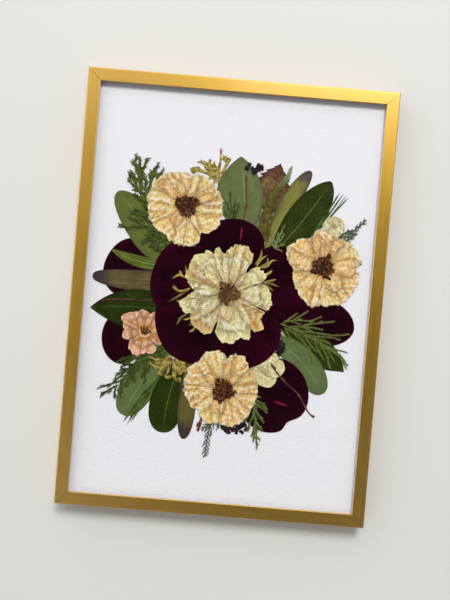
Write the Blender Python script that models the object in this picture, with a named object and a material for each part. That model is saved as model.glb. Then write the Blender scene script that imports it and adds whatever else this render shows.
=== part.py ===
"""Pressed flower frame: a gold aluminium section frame for an A4 sheet, lying on its back with its face up.

X runs across the picture, Y up the picture and Z out of its face. The origin is the middle of the rear rims,
which are what the frame lies on. Shapes are worked out in millimetres and turned into metres as they are built.
"""

import math

import bmesh
import bpy
import numpy as np

MM = 0.001

# driving dimensions of the frame, in millimetres
PACKAGE_WIDTH = 210.0      # glass, card and backing board are A4 sheets
PACKAGE_HEIGHT = 297.0
SIDE_CLEARANCE = 1.5       # package edge to the rail's wall
WALL = 1.5                 # outer wall of the aluminium section
FACE_WIDTH = 9.0           # gold face seen from the front
FRAME_DEPTH = 20.0
FLANGE_DEPTH = 2.0         # inner edge round the sight opening
FLANGE_WALL = 1.2
FACE_THICKNESS = 1.2
REAR_LIP = 2.8             # small stiffening lip at the rear rim
REAR_LIP_THICKNESS = 1.2
RIB_REACH = 2.6            # rib inside the outer wall that the tabs rest on
RIB_THICKNESS = 1.0
OUTER_ROUND = 0.8          # rounding of the outer face edge
INNER_ROUND = 0.4
MITRE_GAP = 0.15           # half of the hairline between two rails

FRAME_WIDTH = PACKAGE_WIDTH + 2 * (SIDE_CLEARANCE + WALL)
FRAME_HEIGHT = PACKAGE_HEIGHT + 2 * (SIDE_CLEARANCE + WALL)

# heights of the flat layers above the rear rims
TOUCH_GAP = 0.1
GLASS_THICKNESS = 1.0
CARD_THICKNESS = 0.5
BOARD_THICKNESS = 2.5
SPECIMEN_ROOM = 2.8        # card to glass
TAB_ROOM = 0.9             # board to rib, where the tabs slide
GLASS_LOW = FRAME_DEPTH - FLANGE_DEPTH - TOUCH_GAP - GLASS_THICKNESS
CARD_TOP = GLASS_LOW - SPECIMEN_ROOM
CARD_LOW = CARD_TOP - CARD_THICKNESS
BOARD_LOW = CARD_LOW - TOUCH_GAP - BOARD_THICKNESS
RIB_HIGH = BOARD_LOW - TAB_ROOM
RIB_LOW = RIB_HIGH - RIB_THICKNESS

# what holds the package and hangs the frame
KEY_LEG = 32.0
KEY_STRIP = 1.0                # thickness of the strip that the key is bent from
KEY_GAP = 0.2
KEY_BEVEL = 0.35               # slanted ends that guide the key in
TAB_LENGTH = 16.0
TAB_REACH = 14.0
TAB_THICKNESS = 0.5
TAB_RIB_GAP = 0.15
TAB_WALL_GAP = 0.2
TAB_PLACES = (0.27, -0.27)     # fractions of the frame's height, on both long sides
HANGER_WIDTH = 45.0
HANGER_DEPTH = 10.0
HANGER_RISE = 1.8
HANGER_THICKNESS = 0.7
HANGER_TEETH = 9
HANGER_TOOTH = 1.6
HANGER_FOOT = 3.0              # flat end that is nailed to the board
HANGER_RAMP = 6.0              # from the flat end up to the toothed middle
HANGER_DROP = 22.0             # below the board's upper edge

# the pressed plants lie in levels, each level clear of the one below it
FIRST_LEVEL = CARD_TOP + 0.15
LEVEL_STEP = 0.27
LEAF_THICKNESS = 0.15

GOLD = (0.62, 0.41, 0.12, 1.0)
STEEL = (0.55, 0.55, 0.54, 1.0)
BURGUNDY = (0.022, 0.003, 0.010, 1.0)
CREAM = (0.72, 0.55, 0.30, 1.0)
OLIVE = (0.40, 0.34, 0.08, 1.0)
DARK_GREEN = (0.035, 0.075, 0.018, 1.0)
GREY_GREEN = (0.12, 0.20, 0.08, 1.0)
BARK = (0.16, 0.07, 0.04, 1.0)


def clear_scene():
    for item in list(bpy.data.objects):
        bpy.data.objects.remove(item, do_unlink=True)


def make_material(name, colour, roughness, metallic=0.0, transmission=0.0):
    material = bpy.data.materials.new(name)
    material.use_nodes = True
    shader = material.node_tree.nodes["Principled BSDF"]
    shader.inputs["Base Color"].default_value = colour
    shader.inputs["Roughness"].default_value = roughness
    shader.inputs["Metallic"].default_value = metallic
    shader.inputs["Transmission Weight"].default_value = transmission
    material.diffuse_color = colour
    return material


def make_object(name, points, faces, material, location=(0.0, 0.0, 0.0), turn=0.0):
    """A mesh object from points in millimetres, its faces turned outwards."""
    mesh = bpy.data.meshes.new(name)
    mesh.from_pydata([tuple(float(v) * MM for v in point) for point in points], [], faces)
    work = bmesh.new()
    work.from_mesh(mesh)
    bmesh.ops.recalc_face_normals(work, faces=work.faces[:])
    if work.calc_volume(signed=True) < 0.0:
        bmesh.ops.reverse_faces(work, faces=work.faces[:])
    work.to_mesh(mesh)
    work.free()
    mesh.materials.append(material)
    item = bpy.data.objects.new(name, mesh)
    item.location = [value * MM for value in location]
    item.rotation_euler = (0.0, 0.0, turn)
    bpy.context.scene.collection.objects.link(item)
    return item


def shade_round(item, angle=math.radians(35)):
    item.data.shade_smooth()
    item.data.set_sharp_from_angle(angle=angle)


def arc(centre, radius, start, end, steps):
    """Points of a circular arc, angles in degrees."""
    angles = [math.radians(start + (end - start) * i / steps) for i in range(steps + 1)]
    return [(centre[0] + radius * math.cos(a), centre[1] + radius * math.sin(a)) for a in angles]


def rail_section():
    """The aluminium section as (distance in from the outer face, height)."""
    top = FRAME_DEPTH
    flange_low = top - FLANGE_DEPTH
    flange_in = FACE_WIDTH - FLANGE_WALL
    section = [(0.0, 0.0)]
    section += arc((OUTER_ROUND, top - OUTER_ROUND), OUTER_ROUND, 180, 90, 4)
    section += arc((FACE_WIDTH - INNER_ROUND, top - INNER_ROUND), INNER_ROUND, 90, 0, 3)
    section += [(FACE_WIDTH, flange_low), (flange_in, flange_low)]
    section += [(flange_in, top - FACE_THICKNESS), (WALL, top - FACE_THICKNESS)]
    section += [(WALL, RIB_HIGH), (RIB_REACH, RIB_HIGH), (RIB_REACH, RIB_LOW), (WALL, RIB_LOW)]
    section += [(WALL, REAR_LIP_THICKNESS), (REAR_LIP, REAR_LIP_THICKNESS), (REAR_LIP, 0.0)]
    return section


def make_rail(name, length, location, turn, material):
    """The section carried along a rail whose two ends are cut at 45 degrees."""
    section = rail_section()
    count = len(section)
    half = length / 2 - MITRE_GAP
    points = [(-half + inward, inward, height) for inward, height in section]
    points += [(half - inward, inward, height) for inward, height in section]
    faces = [(i, (i + 1) % count, count + (i + 1) % count, count + i) for i in range(count)]
    faces += [tuple(range(count)), tuple(range(2 * count - 1, count - 1, -1))]
    shade_round(make_object(name, points, faces, material, location, turn))


def make_rails(material):
    side = FRAME_WIDTH / 2
    end = FRAME_HEIGHT / 2
    make_rail("rail_bottom", FRAME_WIDTH, (0.0, -end, 0.0), 0.0, material)
    make_rail("rail_right", FRAME_HEIGHT, (side, 0.0, 0.0), math.pi / 2, material)
    make_rail("rail_top", FRAME_WIDTH, (0.0, end, 0.0), math.pi, material)
    make_rail("rail_left", FRAME_HEIGHT, (-side, 0.0, 0.0), -math.pi / 2, material)


def prism(name, outline, low, high, material, location=(0.0, 0.0, 0.0), turn=0.0):
    """A flat piece: an outline of (x, y) points between two heights."""
    count = len(outline)
    points = [(x, y, low) for x, y in outline] + [(x, y, high) for x, y in outline]
    faces = [(i, (i + 1) % count, count + (i + 1) % count, count + i) for i in range(count)]
    faces += [tuple(range(count)), tuple(range(count, 2 * count))]
    return make_object(name, points, faces, material, location, turn)


def sheet_outline(width, height):
    x, y = width / 2, height / 2
    return [(-x, -y), (x, -y), (x, y), (-x, y)]


def make_package(glass, card, board):
    sheet = sheet_outline(PACKAGE_WIDTH, PACKAGE_HEIGHT)
    prism("glazing", sheet, GLASS_LOW, GLASS_LOW + GLASS_THICKNESS, glass)
    prism("backing_card", sheet, CARD_LOW, CARD_TOP, card)
    prism("backing_board", sheet, BOARD_LOW, BOARD_LOW + BOARD_THICKNESS, board)


def make_corner_keys(material):
    """An L-shaped strip on edge in the channel between the rear lip and the rib of two rails, one at each corner."""
    outer = WALL + KEY_GAP
    inner = outer + KEY_STRIP
    low = REAR_LIP_THICKNESS + KEY_GAP
    high = RIB_LOW - KEY_GAP
    tip = KEY_LEG - KEY_BEVEL
    leg = [(outer, outer), (tip, outer), (KEY_LEG, outer + KEY_BEVEL)]
    leg += [(KEY_LEG, inner - KEY_BEVEL), (tip, inner), (inner, inner)]
    outline = leg + [(y, x) for x, y in reversed(leg[1:-1])]
    corners = {"bottom_left": (-1, -1, 0), "bottom_right": (1, -1, 1), "top_right": (1, 1, 2), "top_left": (-1, 1, 3)}
    for name, (x, y, turns) in corners.items():
        place = (x * FRAME_WIDTH / 2, y * FRAME_HEIGHT / 2, 0.0)
        prism("corner_key_" + name, outline, low, high, material, place, turns * math.pi / 2)


def make_tabs(material):
    """Flat tabs that slide between the ribs of the long rails and the board, and hold the board in."""
    low = RIB_HIGH + TAB_RIB_GAP
    start = WALL + TAB_WALL_GAP
    half = TAB_LENGTH / 2
    nose = arc((TAB_REACH - half, 0.0), half, -90, 90, 10)
    outline = [(start, half), (start, -half)] + nose
    for side, turn in (("left", 0.0), ("right", math.pi)):
        x = -FRAME_WIDTH / 2 if side == "left" else FRAME_WIDTH / 2
        for place, fraction in zip(("upper", "lower"), TAB_PLACES):
            spot = (x, fraction * FRAME_HEIGHT, 0.0)
            prism("tab_%s_%s" % (side, place), outline, low, low + TAB_THICKNESS, material, spot, turn)


def make_hanger(material):
    """A sawtooth hanger: a toothed strip whose middle stands off the board."""
    columns = 4 * HANGER_TEETH + 12
    x = np.linspace(-HANGER_WIDTH / 2, HANGER_WIDTH / 2, columns + 1)
    foot_end = HANGER_WIDTH / 2 - HANGER_FOOT
    flat_end = foot_end - HANGER_RAMP
    ease = np.clip((foot_end - np.abs(x)) / HANGER_RAMP, 0.0, 1.0)
    rise = HANGER_RISE * ease * ease * (3.0 - 2.0 * ease)
    top = np.full_like(x, HANGER_DEPTH / 2)
    tooth = np.abs(((x / (2 * flat_end) * HANGER_TEETH + 0.5) % 1.0) - 0.5) * 2.0
    bottom = -HANGER_DEPTH / 2 + np.where(np.abs(x) < flat_end, HANGER_TOOTH * tooth, 0.0)
    base = BOARD_LOW - TOUCH_GAP
    upper = base - rise
    lower = upper - HANGER_THICKNESS
    middle = PACKAGE_HEIGHT / 2 - HANGER_DROP
    rows = [(top, upper), (bottom, upper), (bottom, lower), (top, lower)]
    points = []
    for y, z in rows:
        points += [(x[i], middle + y[i], z[i]) for i in range(columns + 1)]
    line = columns + 1
    faces = []
    for row in range(4):
        after = (row + 1) % 4
        faces += [(row * line + i, row * line + i + 1, after * line + i + 1, after * line + i) for i in range(columns)]
    faces += [tuple(row * line for row in range(4)), tuple(row * line + columns for row in range(4))]
    make_object("sawtooth_hanger", points, faces, material)


def level_height(level):
    return FIRST_LEVEL + LEVEL_STEP * level


def leaf_outline(base, tip, bend, width, fullest, roundness, lean=0.0, steps=13):
    """A blade along a bent midrib. Half width is s^p (1-s)^q scaled to one at the fullest place."""
    s = 0.5 - 0.5 * np.cos(np.linspace(0.0, math.pi, steps))
    base, tip = np.array(base), np.array(tip)
    run = tip - base
    side = np.array([-run[1], run[0]]) / np.hypot(*run)
    power = roundness * fullest / (1.0 - fullest)
    half = width / 2 * (s / fullest) ** power * ((1.0 - s) / (1.0 - fullest)) ** roundness
    midrib = base + np.outer(s, run) + np.outer(4.0 * bend * s * (1.0 - s), side)
    along = run + np.outer(4.0 * bend * (1.0 - 2.0 * s), side)
    across = np.stack([-along[:, 1], along[:, 0]], axis=1) / np.hypot(along[:, 0], along[:, 1])[:, None]
    left = midrib + across * (half * (1.0 + lean))[:, None]
    right = midrib - across * (half * (1.0 - lean))[:, None]
    return np.vstack([left[:-1], right[:0:-1]])


def petal_outline(base, axis, length, spread, square, power, notch=0.0, notch_at=0.0, steps=22):
    """A fan from its base: the reach at an angle a is length (1 - |a/spread|^square)^power, less a notch."""
    turn = np.sin(np.linspace(-1.0, 1.0, steps) * math.pi / 2)
    angle = turn * spread
    reach = length * (1.0 - np.abs(turn) ** square) ** power
    reach *= 1.0 - notch * np.exp(-((angle - notch_at) / 7.0) ** 2)
    heading = np.radians(axis + angle)
    ring = np.array(base) + np.stack([reach * np.cos(heading), reach * np.sin(heading)], axis=1)
    return ring[:-1]


def bloom_outline(centre, tips, steps):
    """A closed curve round a centre through (angle, reach) tips, eased by a cosine between them."""
    order = sorted(tips)
    angles = np.array([a for a, r in order] + [order[0][0] + 360.0])
    reaches = np.array([r for a, r in order] + [order[0][1]])
    turn = order[0][0] + 360.0 * np.arange(steps) / steps
    slot = np.clip(np.searchsorted(angles, turn, side="right") - 1, 0, len(order) - 1)
    part = (turn - angles[slot]) / (angles[slot + 1] - angles[slot])
    ease = 0.5 - 0.5 * np.cos(math.pi * part)
    reach = reaches[slot] + (reaches[slot + 1] - reaches[slot]) * ease
    heading = np.radians(turn)
    return np.array(centre) + np.stack([reach * np.cos(heading), reach * np.sin(heading)], axis=1)


def sprig_outline(stem, branches, stem_width=1.4, branch_width=1.3):
    """A flat sprig: pointed branches leave a tapering stem, given as (place on the stem 0-1, tip)."""
    stem = np.array(stem)
    lengths = np.hypot(*np.diff(stem, axis=0).T)
    marks = np.concatenate([[0.0], np.cumsum(lengths)]) / lengths.sum()

    def on_stem(place):
        return np.array([np.interp(place, marks, stem[:, 0]), np.interp(place, marks, stem[:, 1])])

    def edge(place, side):
        ahead = on_stem(min(place + 0.02, 1.0)) - on_stem(max(place - 0.02, 0.0))
        normal = np.array([-ahead[1], ahead[0]]) / np.hypot(*ahead)
        return on_stem(place) + normal * side * stem_width / 2 * (1.0 - 0.6 * place)

    total = lengths.sum()
    sides = {1: [], -1: []}
    for place, tip in branches:
        root = on_stem(place)
        ahead = on_stem(min(place + 0.02, 1.0)) - root
        out = np.array(tip) - root
        side = 1 if ahead[0] * out[1] - ahead[1] * out[0] > 0 else -1
        sides[side].append((place, tip))
    outline = []
    for side, order in ((1, False), (-1, True)):
        run = []
        half = branch_width / total
        for place, tip in sorted(sides[side]):
            run += [edge(place - half / 2, side), np.array(tip), edge(place + half / 2, side)]
        run = [edge(0.0, side)] + run
        outline += run[::-1] if order else run + [stem[-1]]
    return np.array(outline)


def strip_outline(route, width):
    """A thin strip along a route of points, as a twig lies."""
    route = np.array(route)
    ahead = np.gradient(route, axis=0)
    normal = np.stack([-ahead[:, 1], ahead[:, 0]], axis=1) / np.hypot(ahead[:, 0], ahead[:, 1])[:, None]
    return np.vstack([route + normal * width / 2, (route - normal * width / 2)[::-1]])


def make_crowned(name, outline, centre, level, thickness, material):
    """A flower head pressed flat: it is thin at its rim and thick from a ring inside it."""
    low = level_height(level)
    centre = np.array(centre)
    rings = ((1.0, 0.0), (1.0, 0.35), (0.86, 0.85), (0.30, 1.0))
    count = len(outline)
    points = []
    for scale, height in rings:
        ring = centre + (outline - centre) * scale
        points += [(x, y, low + thickness * height) for x, y in ring]
    faces = []
    for row in range(len(rings) - 1):
        for i in range(count):
            after = (i + 1) % count
            faces.append((row * count + i, row * count + after, (row + 1) * count + after, (row + 1) * count + i))
    faces += [tuple(range(count)), tuple(range((len(rings) - 1) * count, len(rings) * count))]
    make_object(name, points, faces, material)


# base, tip, bend, width, fullest place (0-1), tip roundness (small is round), lean; then level and colour
LEAVES = {
    "leaf_left_round": ((-49.0, 22.5), (-83.0, 67.3), -5.5, 24.0, 0.36, 0.50, 0.12, 1, GREY_GREEN),
    "leaf_top_broad": ((12.0, 46.0), (1.7, 99.4), 0.0, 31.5, 0.50, 0.85, 0.25, 2, GREY_GREEN),
    "leaf_top_serrated": ((23.5, 48.0), (29.8, 97.2), 1.2, 23.0, 0.65, 1.50, 0.11, 0, BARK),
    "leaf_top_long": ((24.0, 32.0), (51.3, 93.3), 2.4, 12.8, 0.60, 0.48, 0.05, 1, OLIVE),
    "leaf_right_laurel": ((28.0, 32.0), (65.9, 87.2), -1.8, 24.6, 0.55, 0.68, 0.0, 2, DARK_GREEN),
    "leaf_left_slender": ((-42.0, 19.4), (-83.2, 27.7), 2.9, 8.2, 0.42, 0.76, 0.0, 2, DARK_GREEN),
    "leaf_left_long": ((-34.3, 8.6), (-94.7, 8.4), 1.1, 14.7, 0.36, 0.35, 0.0, 1, OLIVE),
    "leaf_left_dark": ((-33.8, -12.8), (-94.7, -14.0), -2.3, 28.2, 0.44, 0.93, 0.12, 2, DARK_GREEN),
    "leaf_low_pale": ((-44.0, -35.8), (-66.5, -87.0), 1.5, 24.5, 0.50, 0.42, 0.0, 0, GREY_GREEN),
    "leaf_low_dark": ((-33.7, -47.1), (-36.7, -97.3), -0.3, 23.6, 0.65, 0.54, 0.0, 2, DARK_GREEN),
    "leaf_low_olive": ((-18.7, -54.1), (-22.3, -100.7), 0.3, 12.3, 0.54, 0.49, 0.0, 3, OLIVE),
    "leaf_right_pale": ((33.0, -24.0), (71.8, -61.5), 4.5, 20.0, 0.60, 0.42, 0.0, 2, GREY_GREEN),
    "leaf_right_dark": ((38.7, -22.3), (86.1, -44.8), 5.7, 23.5, 0.68, 1.36, -0.17, 1, DARK_GREEN),
}

# base, heading of the middle, length, half angle of the fan, squareness, power, notch, notch angle; then level
ROSE_PETALS = {
    "petal_top": ((5.2, 6.0), 100.4, 50.2, 54.4, 2.5, 0.50, 0.0, 0.0, 6),
    "petal_upper_left": ((-1.4, 3.5), 163.7, 51.8, 52.5, 3.3, 0.51, 0.0, 0.0, 5),
    "petal_far_left": ((-48.9, 7.0), 156.1, 39.8, 58.6, 3.0, 0.56, 0.0, 0.0, 0),
    "petal_right": ((2.0, 6.7), 5.0, 48.6, 54.0, 5.0, 0.30, 0.0, 0.0, 4),
    "petal_far_right": ((32.4, -3.4), -12.0, 59.2, 37.2, 1.75, 0.65, 0.0, 0.0, 0),
    "petal_lower_left": ((1.7, 5.2), 228.7, 58.0, 71.2, 1.5, 0.40, 0.0, 0.0, 4),
    "petal_lower_right": ((-1.6, 3.1), -60.0, 54.5, 55.1, 2.3, 0.57, 0.0, 0.0, 6),
    "petal_bottom_right": ((10.0, -62.0), -8.0, 53.0, 74.0, 1.8, 0.60, 0.07, -20.0, 3),
    "petal_low_left": ((-58.0, -33.0), 180.0, 27.0, 80.0, 2.6, 0.35, 0.0, 0.0, 0),
}
PALE_PETALS = {
    "pale_petal_low": ((17.0, -47.0), -17.0, 23.5, 34.0, 3.0, 0.50, 0.08, 8.0, 4),
    "pale_petal_high": ((33.4, -48.6), 47.0, 13.0, 60.0, 2.6, 0.50, 0.10, -8.0, 5),
}

# centre, (angle, reach) of the rim, outline steps, level, thickness
BLOOMS = {
    "centre_flower": ((0.8, 3.9), (
        (-165, 37), (-152, 34), (-143, 41), (-131, 37), (-116, 34), (-98, 33), (-88, 36), (-75, 33), (-62, 35),
        (-52, 33), (-40, 34), (-25, 30), (-8, 31), (7, 33), (15, 36), (27, 31), (38, 40), (49, 38), (60, 37),
        (79, 35), (88, 34), (100, 28), (107, 32), (115, 30), (128, 34), (149, 34), (159, 37), (171, 40), (182, 38),
    ), 72, 7, 0.62),
    "rose_upper_left": ((-33.1, 62.1), (
        (-165, 27.6), (-142, 27.5), (-121, 25.0), (-88, 28.7), (-67, 27.2), (-57, 22.5), (-32, 25.8), (-1, 25.5),
        (31, 24.0), (45, 23.1), (66, 24.0), (101, 23.5), (129, 27.7), (149, 28.5), (171, 28.0),
    ), 48, 7, 0.62),
    "rose_right": ((65.3, 27.5), (
        (-169, 21.1), (-144, 23.4), (-119, 26.7), (-101, 29.4), (-88, 26.1), (-65, 29.1), (-39, 27.6), (-9, 26.5),
        (23, 27.0), (52, 24.1), (73, 22.7), (91, 25.6), (115, 23.6), (137, 26.0), (154, 27.8), (181, 24.9),
    ), 48, 5, 1.14),
    "rose_bottom": ((2.7, -64.2), (
        (-175, 27.9), (-147, 25.1), (-137, 22.2), (-113, 25.8), (-85, 25.6), (-52, 24.8), (-24, 23.0), (4, 24.6),
        (28, 24.0), (49, 25.6), (63, 27.6), (83, 26.4), (89, 22.5), (99, 28.0), (117, 29.2), (133, 26.8), (160, 28.5),
    ), 48, 7, 0.62),
    "small_pink_flower": ((-55.0, -27.9), (
        (-168, 16.6), (-143, 14.0), (-130, 16.2), (-104, 17.8), (-82, 14.0), (-69, 16.1), (-44, 14.2), (-22, 15.7),
        (10, 10.5), (40, 14.0), (57, 18.6), (79, 13.4), (102, 16.0), (116, 15.0), (149, 19.7), (178, 14.7),
    ), 36, 3, 0.20),
    "small_cream_bloom": ((70.4, 56.0), (
        (-163, 8.3), (130, 7.1), (95, 7.0), (56, 7.4), (22, 7.6), (-14, 7.3), (-49, 7.9), (-90, 8.0), (-125, 8.0),
    ), 24, 4, 0.20),
}

# stem, branches (place on the stem, tip), level, colour
SPRIGS = {
    "juniper_sprig": (((-60.5, 63.5), (-64.9, 70.0), (-68.0, 78.7), (-71.7, 96.3)), (
        (0.20, (-75.5, 83.0)), (0.34, (-72.1, 84.4)), (0.05, (-51.4, 86.6)), (0.14, (-55.4, 91.4)),
        (0.28, (-58.9, 91.0)), (0.44, (-62.5, 93.2)), (0.66, (-68.0, 93.6)),
    ), 1, DARK_GREEN),
    "cedar_over_leaf": (((-44.0, 38.0), (-58.2, 45.0), (-74.7, 44.4), (-79.6, 45.0)), (
        (0.06, (-58.0, 61.5)), (0.18, (-63.0, 58.0)), (0.30, (-70.5, 57.6)), (0.46, (-73.8, 51.4)),
        (0.12, (-62.0, 34.5)), (0.30, (-68.0, 38.0)),
    ), 2, DARK_GREEN),
    "cedar_lower_left": (((-38.0, -35.9), (-52.9, -46.5), (-63.6, -56.7), (-85.1, -70.4)), (
        (0.24, (-63.7, -45.9)), (0.36, (-73.0, -50.7)), (0.50, (-72.6, -57.2)), (0.62, (-78.5, -62.4)),
        (0.78, (-83.2, -76.0)), (0.66, (-72.7, -76.6)), (0.56, (-68.9, -75.2)), (0.44, (-64.6, -68.8)),
        (0.22, (-53.2, -64.5)),
    ), 1, DARK_GREEN),
    "cedar_right": (((38.0, -14.2), (49.9, -20.5), (62.7, -23.6), (75.9, -30.1), (88.4, -40.4)), (
        (0.06, (50.0, -6.7)), (0.16, (57.4, -4.5)), (0.26, (67.0, -7.5)), (0.36, (76.7, -9.9)), (0.46, (69.1, -16.8)),
        (0.54, (87.5, -18.1)), (0.64, (81.6, -23.0)), (0.80, (87.3, -30.7)), (0.84, (78.7, -36.8)),
        (0.68, (76.3, -42.0)), (0.58, (71.5, -37.4)), (0.48, (65.9, -39.1)), (0.38, (63.2, -40.6)),
        (0.26, (54.0, -32.2)), (0.08, (42.6, -24.0)),
    ), 5, DARK_GREEN),
    "cedar_bottom": (((20.0, -72.0), (26.3, -83.9), (27.7, -93.0), (29.8, -104.1)), (
        (0.08, (28.9, -67.9)), (0.18, (34.5, -76.5)), (0.30, (33.4, -84.9)), (0.50, (32.7, -91.3)),
        (0.72, (31.2, -97.4)), (0.66, (25.5, -95.6)), (0.40, (22.4, -91.3)),
    ), 4, DARK_GREEN),
    "fern_bottom": (((-3.0, -86.0), (-5.0, -94.4), (-6.0, -111.9)), (
        (0.14, (0.6, -95.8)), (0.30, (-3.0, -99.5)), (0.16, (-10.0, -95.0)), (0.40, (-8.4, -102.0)),
        (0.60, (-7.6, -106.0)), (0.62, (-4.2, -105.0)),
    ), 0, DARK_GREEN),
    "fern_right": (((74.0, 44.0), (80.0, 50.0), (92.2, 62.2)), (
        (0.14, (74.5, 51.5)), (0.30, (78.9, 55.2)), (0.55, (84.0, 57.2)), (0.50, (86.6, 53.3)), (0.24, (82.0, 47.2)),
    ), 0, DARK_GREEN),
    "moss_sprig": (((21.3, 49.0), (25.0, 63.9), (30.0, 73.0), (35.9, 86.9), (38.2, 97.0)), (
        (0.16, (19.0, 62.0)), (0.30, (23.0, 71.0)), (0.50, (29.5, 80.0)), (0.46, (34.5, 76.0)),
        (0.28, (30.6, 66.5)), (0.14, (27.5, 58.0)),
    ), 3, OLIVE),
    "golden_spray_top": (((-12.8, 74.0), (-14.0, 84.0), (-12.7, 105.2)), (
        (0.16, (-31.7, 86.5)), (0.28, (-27.9, 94.5)), (0.44, (-19.2, 98.0)), (0.46, (-4.8, 96.5)), (0.24, (-8.5, 92.0)),
    ), 0, OLIVE),
    "golden_spray_low": (((-24.0, -42.0), (-36.0, -45.0), (-44.0, -46.5), (-52.2, -45.7)), (
        (0.80, (-48.8, -51.8)), (0.60, (-44.1, -57.3)), (0.42, (-37.6, -58.2)), (0.26, (-31.6, -61.3)),
        (0.10, (-25.0, -54.6)),
    ), 3, OLIVE),
    "needles_right": (((55.5, 48.0), (66.1, 61.9), (78.7, 77.1)), (
        (0.12, (72.6, 80.4)), (0.36, (76.1, 79.8)),
    ), 3, DARK_GREEN),
    "needles_left": (((-41.9, -57.8), (-65.4, -92.2)), (
        (0.10, (-62.7, -94.1)), (0.24, (-61.2, -90.0)),
    ), 1, DARK_GREEN),
}

# route, width, level, thickness
TWIGS = {
    "twig_left": (((-87.1, -8.8), (-83.9, -7.6), (-70.1, -6.5), (-60.7, -6.4), (-46.0, -4.0)), 1.2, 3, 0.20),
    "twig_right": (((34.6, -42.6), (36.9, -45.9), (44.5, -54.1), (55.3, -62.7), (64.6, -75.8), (67.7, -78.1)), 1.1, 6, 0.60),
}


def make_plants():
    paints = {}

    def paint(colour, roughness=0.7):
        if colour not in paints:
            paints[colour] = make_material("plant_%d" % len(paints), colour, roughness)
        return paints[colour]

    def lay(name, outline, level, colour, thickness=LEAF_THICKNESS):
        low = level_height(level)
        prism(name, [tuple(point) for point in outline], low, low + thickness, paint(colour))

    for name, leaf in LEAVES.items():
        lay(name, leaf_outline(*leaf[:7]), leaf[7], leaf[8])
    for name, petal in ROSE_PETALS.items():
        lay(name, petal_outline(*petal[:8]), petal[8], BURGUNDY)
    for name, petal in PALE_PETALS.items():
        lay(name, petal_outline(*petal[:8]), petal[8], CREAM)
    for name, (stem, branches, level, colour) in SPRIGS.items():
        lay(name, sprig_outline(stem, branches), level, colour)
    for name, (route, width, level, thickness) in TWIGS.items():
        lay(name, strip_outline(route, width), level, BARK, thickness)
    for name, (centre, tips, steps, level, thickness) in BLOOMS.items():
        make_crowned(name, bloom_outline(centre, tips, steps), centre, level, thickness, paint(CREAM))


def main():
    clear_scene()
    gold = make_material("gold_anodised", GOLD, 0.32, metallic=1.0)
    steel = make_material("zinc_plated_steel", STEEL, 0.4, metallic=1.0)
    make_rails(gold)
    make_package(
        make_material("clear_glass", (0.95, 0.97, 0.96, 1.0), 0.02, transmission=1.0),
        make_material("white_card", (0.86, 0.85, 0.88, 1.0), 0.9),
        make_material("hardboard", (0.24, 0.14, 0.07, 1.0), 0.8),
    )
    make_corner_keys(steel)
    make_tabs(steel)
    make_hanger(steel)
    make_plants()


main()
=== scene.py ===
# Pressed flower frame: a gold metal frame whose dry flowers, petals, leaves and sprigs lie on card behind
# glass. It lies on its back: X across the picture, Y up the picture, Z out of the glass. Shapes are worked
# out in millimetres, and makePiece turns them into metres.
import math

import bpy
import numpy as np
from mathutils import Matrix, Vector


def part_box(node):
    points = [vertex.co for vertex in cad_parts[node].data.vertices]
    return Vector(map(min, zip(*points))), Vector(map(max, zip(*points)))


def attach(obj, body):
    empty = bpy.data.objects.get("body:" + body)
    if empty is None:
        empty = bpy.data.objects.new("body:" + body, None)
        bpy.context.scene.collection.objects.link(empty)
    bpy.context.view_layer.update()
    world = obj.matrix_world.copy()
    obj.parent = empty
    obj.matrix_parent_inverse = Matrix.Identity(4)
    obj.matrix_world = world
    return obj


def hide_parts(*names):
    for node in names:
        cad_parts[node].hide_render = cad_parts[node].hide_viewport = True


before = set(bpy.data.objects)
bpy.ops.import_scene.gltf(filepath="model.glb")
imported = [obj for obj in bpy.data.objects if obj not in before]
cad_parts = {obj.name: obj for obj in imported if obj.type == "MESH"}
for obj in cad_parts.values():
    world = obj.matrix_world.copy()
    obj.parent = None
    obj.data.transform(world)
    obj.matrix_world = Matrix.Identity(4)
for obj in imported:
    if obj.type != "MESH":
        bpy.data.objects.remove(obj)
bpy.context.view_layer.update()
print("frame loaded,", len(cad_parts), "nodes")

mm = 0.001
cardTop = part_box("backing_card")[1].z / mm
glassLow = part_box("glazing")[0].z / mm
pressGap = 0.04                                  # air left between one pressed piece and the next


def screenColour(red, green, blue):
    # a colour as seen on a screen, 0-255, made linear
    value = np.array([red, green, blue]) / 255.0
    linear = np.where(value <= 0.04045, value / 12.92, ((value + 0.055) / 1.055) ** 2.4)
    return tuple(float(v) for v in linear) + (1.0,)


noiseCells = 97                                  # the noise repeats after this many cells
noiseShift = (31.7, 57.3)                        # keeps the origin of a piece off the corner of a cell


def softNoise(x, y, size, seed):
    # random values from -1 to 1 at the corners of square cells, eased between corners by t * t * (3 - 2t)
    table = np.random.default_rng(seed).uniform(-1.0, 1.0, (noiseCells, noiseCells))
    gx, gy = np.asarray(x) / size + noiseShift[0], np.asarray(y) / size + noiseShift[1]
    ix, iy = np.floor(gx).astype(int), np.floor(gy).astype(int)
    fx, fy = gx - ix, gy - iy
    fx, fy = fx * fx * (3 - 2 * fx), fy * fy * (3 - 2 * fy)
    left, right = ix % noiseCells, (ix + 1) % noiseCells
    below, above = iy % noiseCells, (iy + 1) % noiseCells
    low = table[left, below] * (1 - fx) + table[right, below] * fx
    high = table[left, above] * (1 - fx) + table[right, above] * fx
    return low * (1 - fy) + high * fy


def cloud(x, y, size, seed, octaves=3):
    # soft noise added at halved sizes and halved weights
    total = sum(softNoise(x, y, size / 2 ** k, seed + k) / 2 ** k for k in range(octaves))
    return total / (2 - 0.5 ** (octaves - 1))


def wrinkles(x, y, size, seed, octaves=2):
    # one less the size of the noise, squared: thin crests with broad hollows between, 0 to 1
    total = sum((1 - np.abs(softNoise(x, y, size / 2 ** k, seed + k))) ** 2 / 2 ** k for k in range(octaves))
    return total / (2 - 0.5 ** (octaves - 1))


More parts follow.
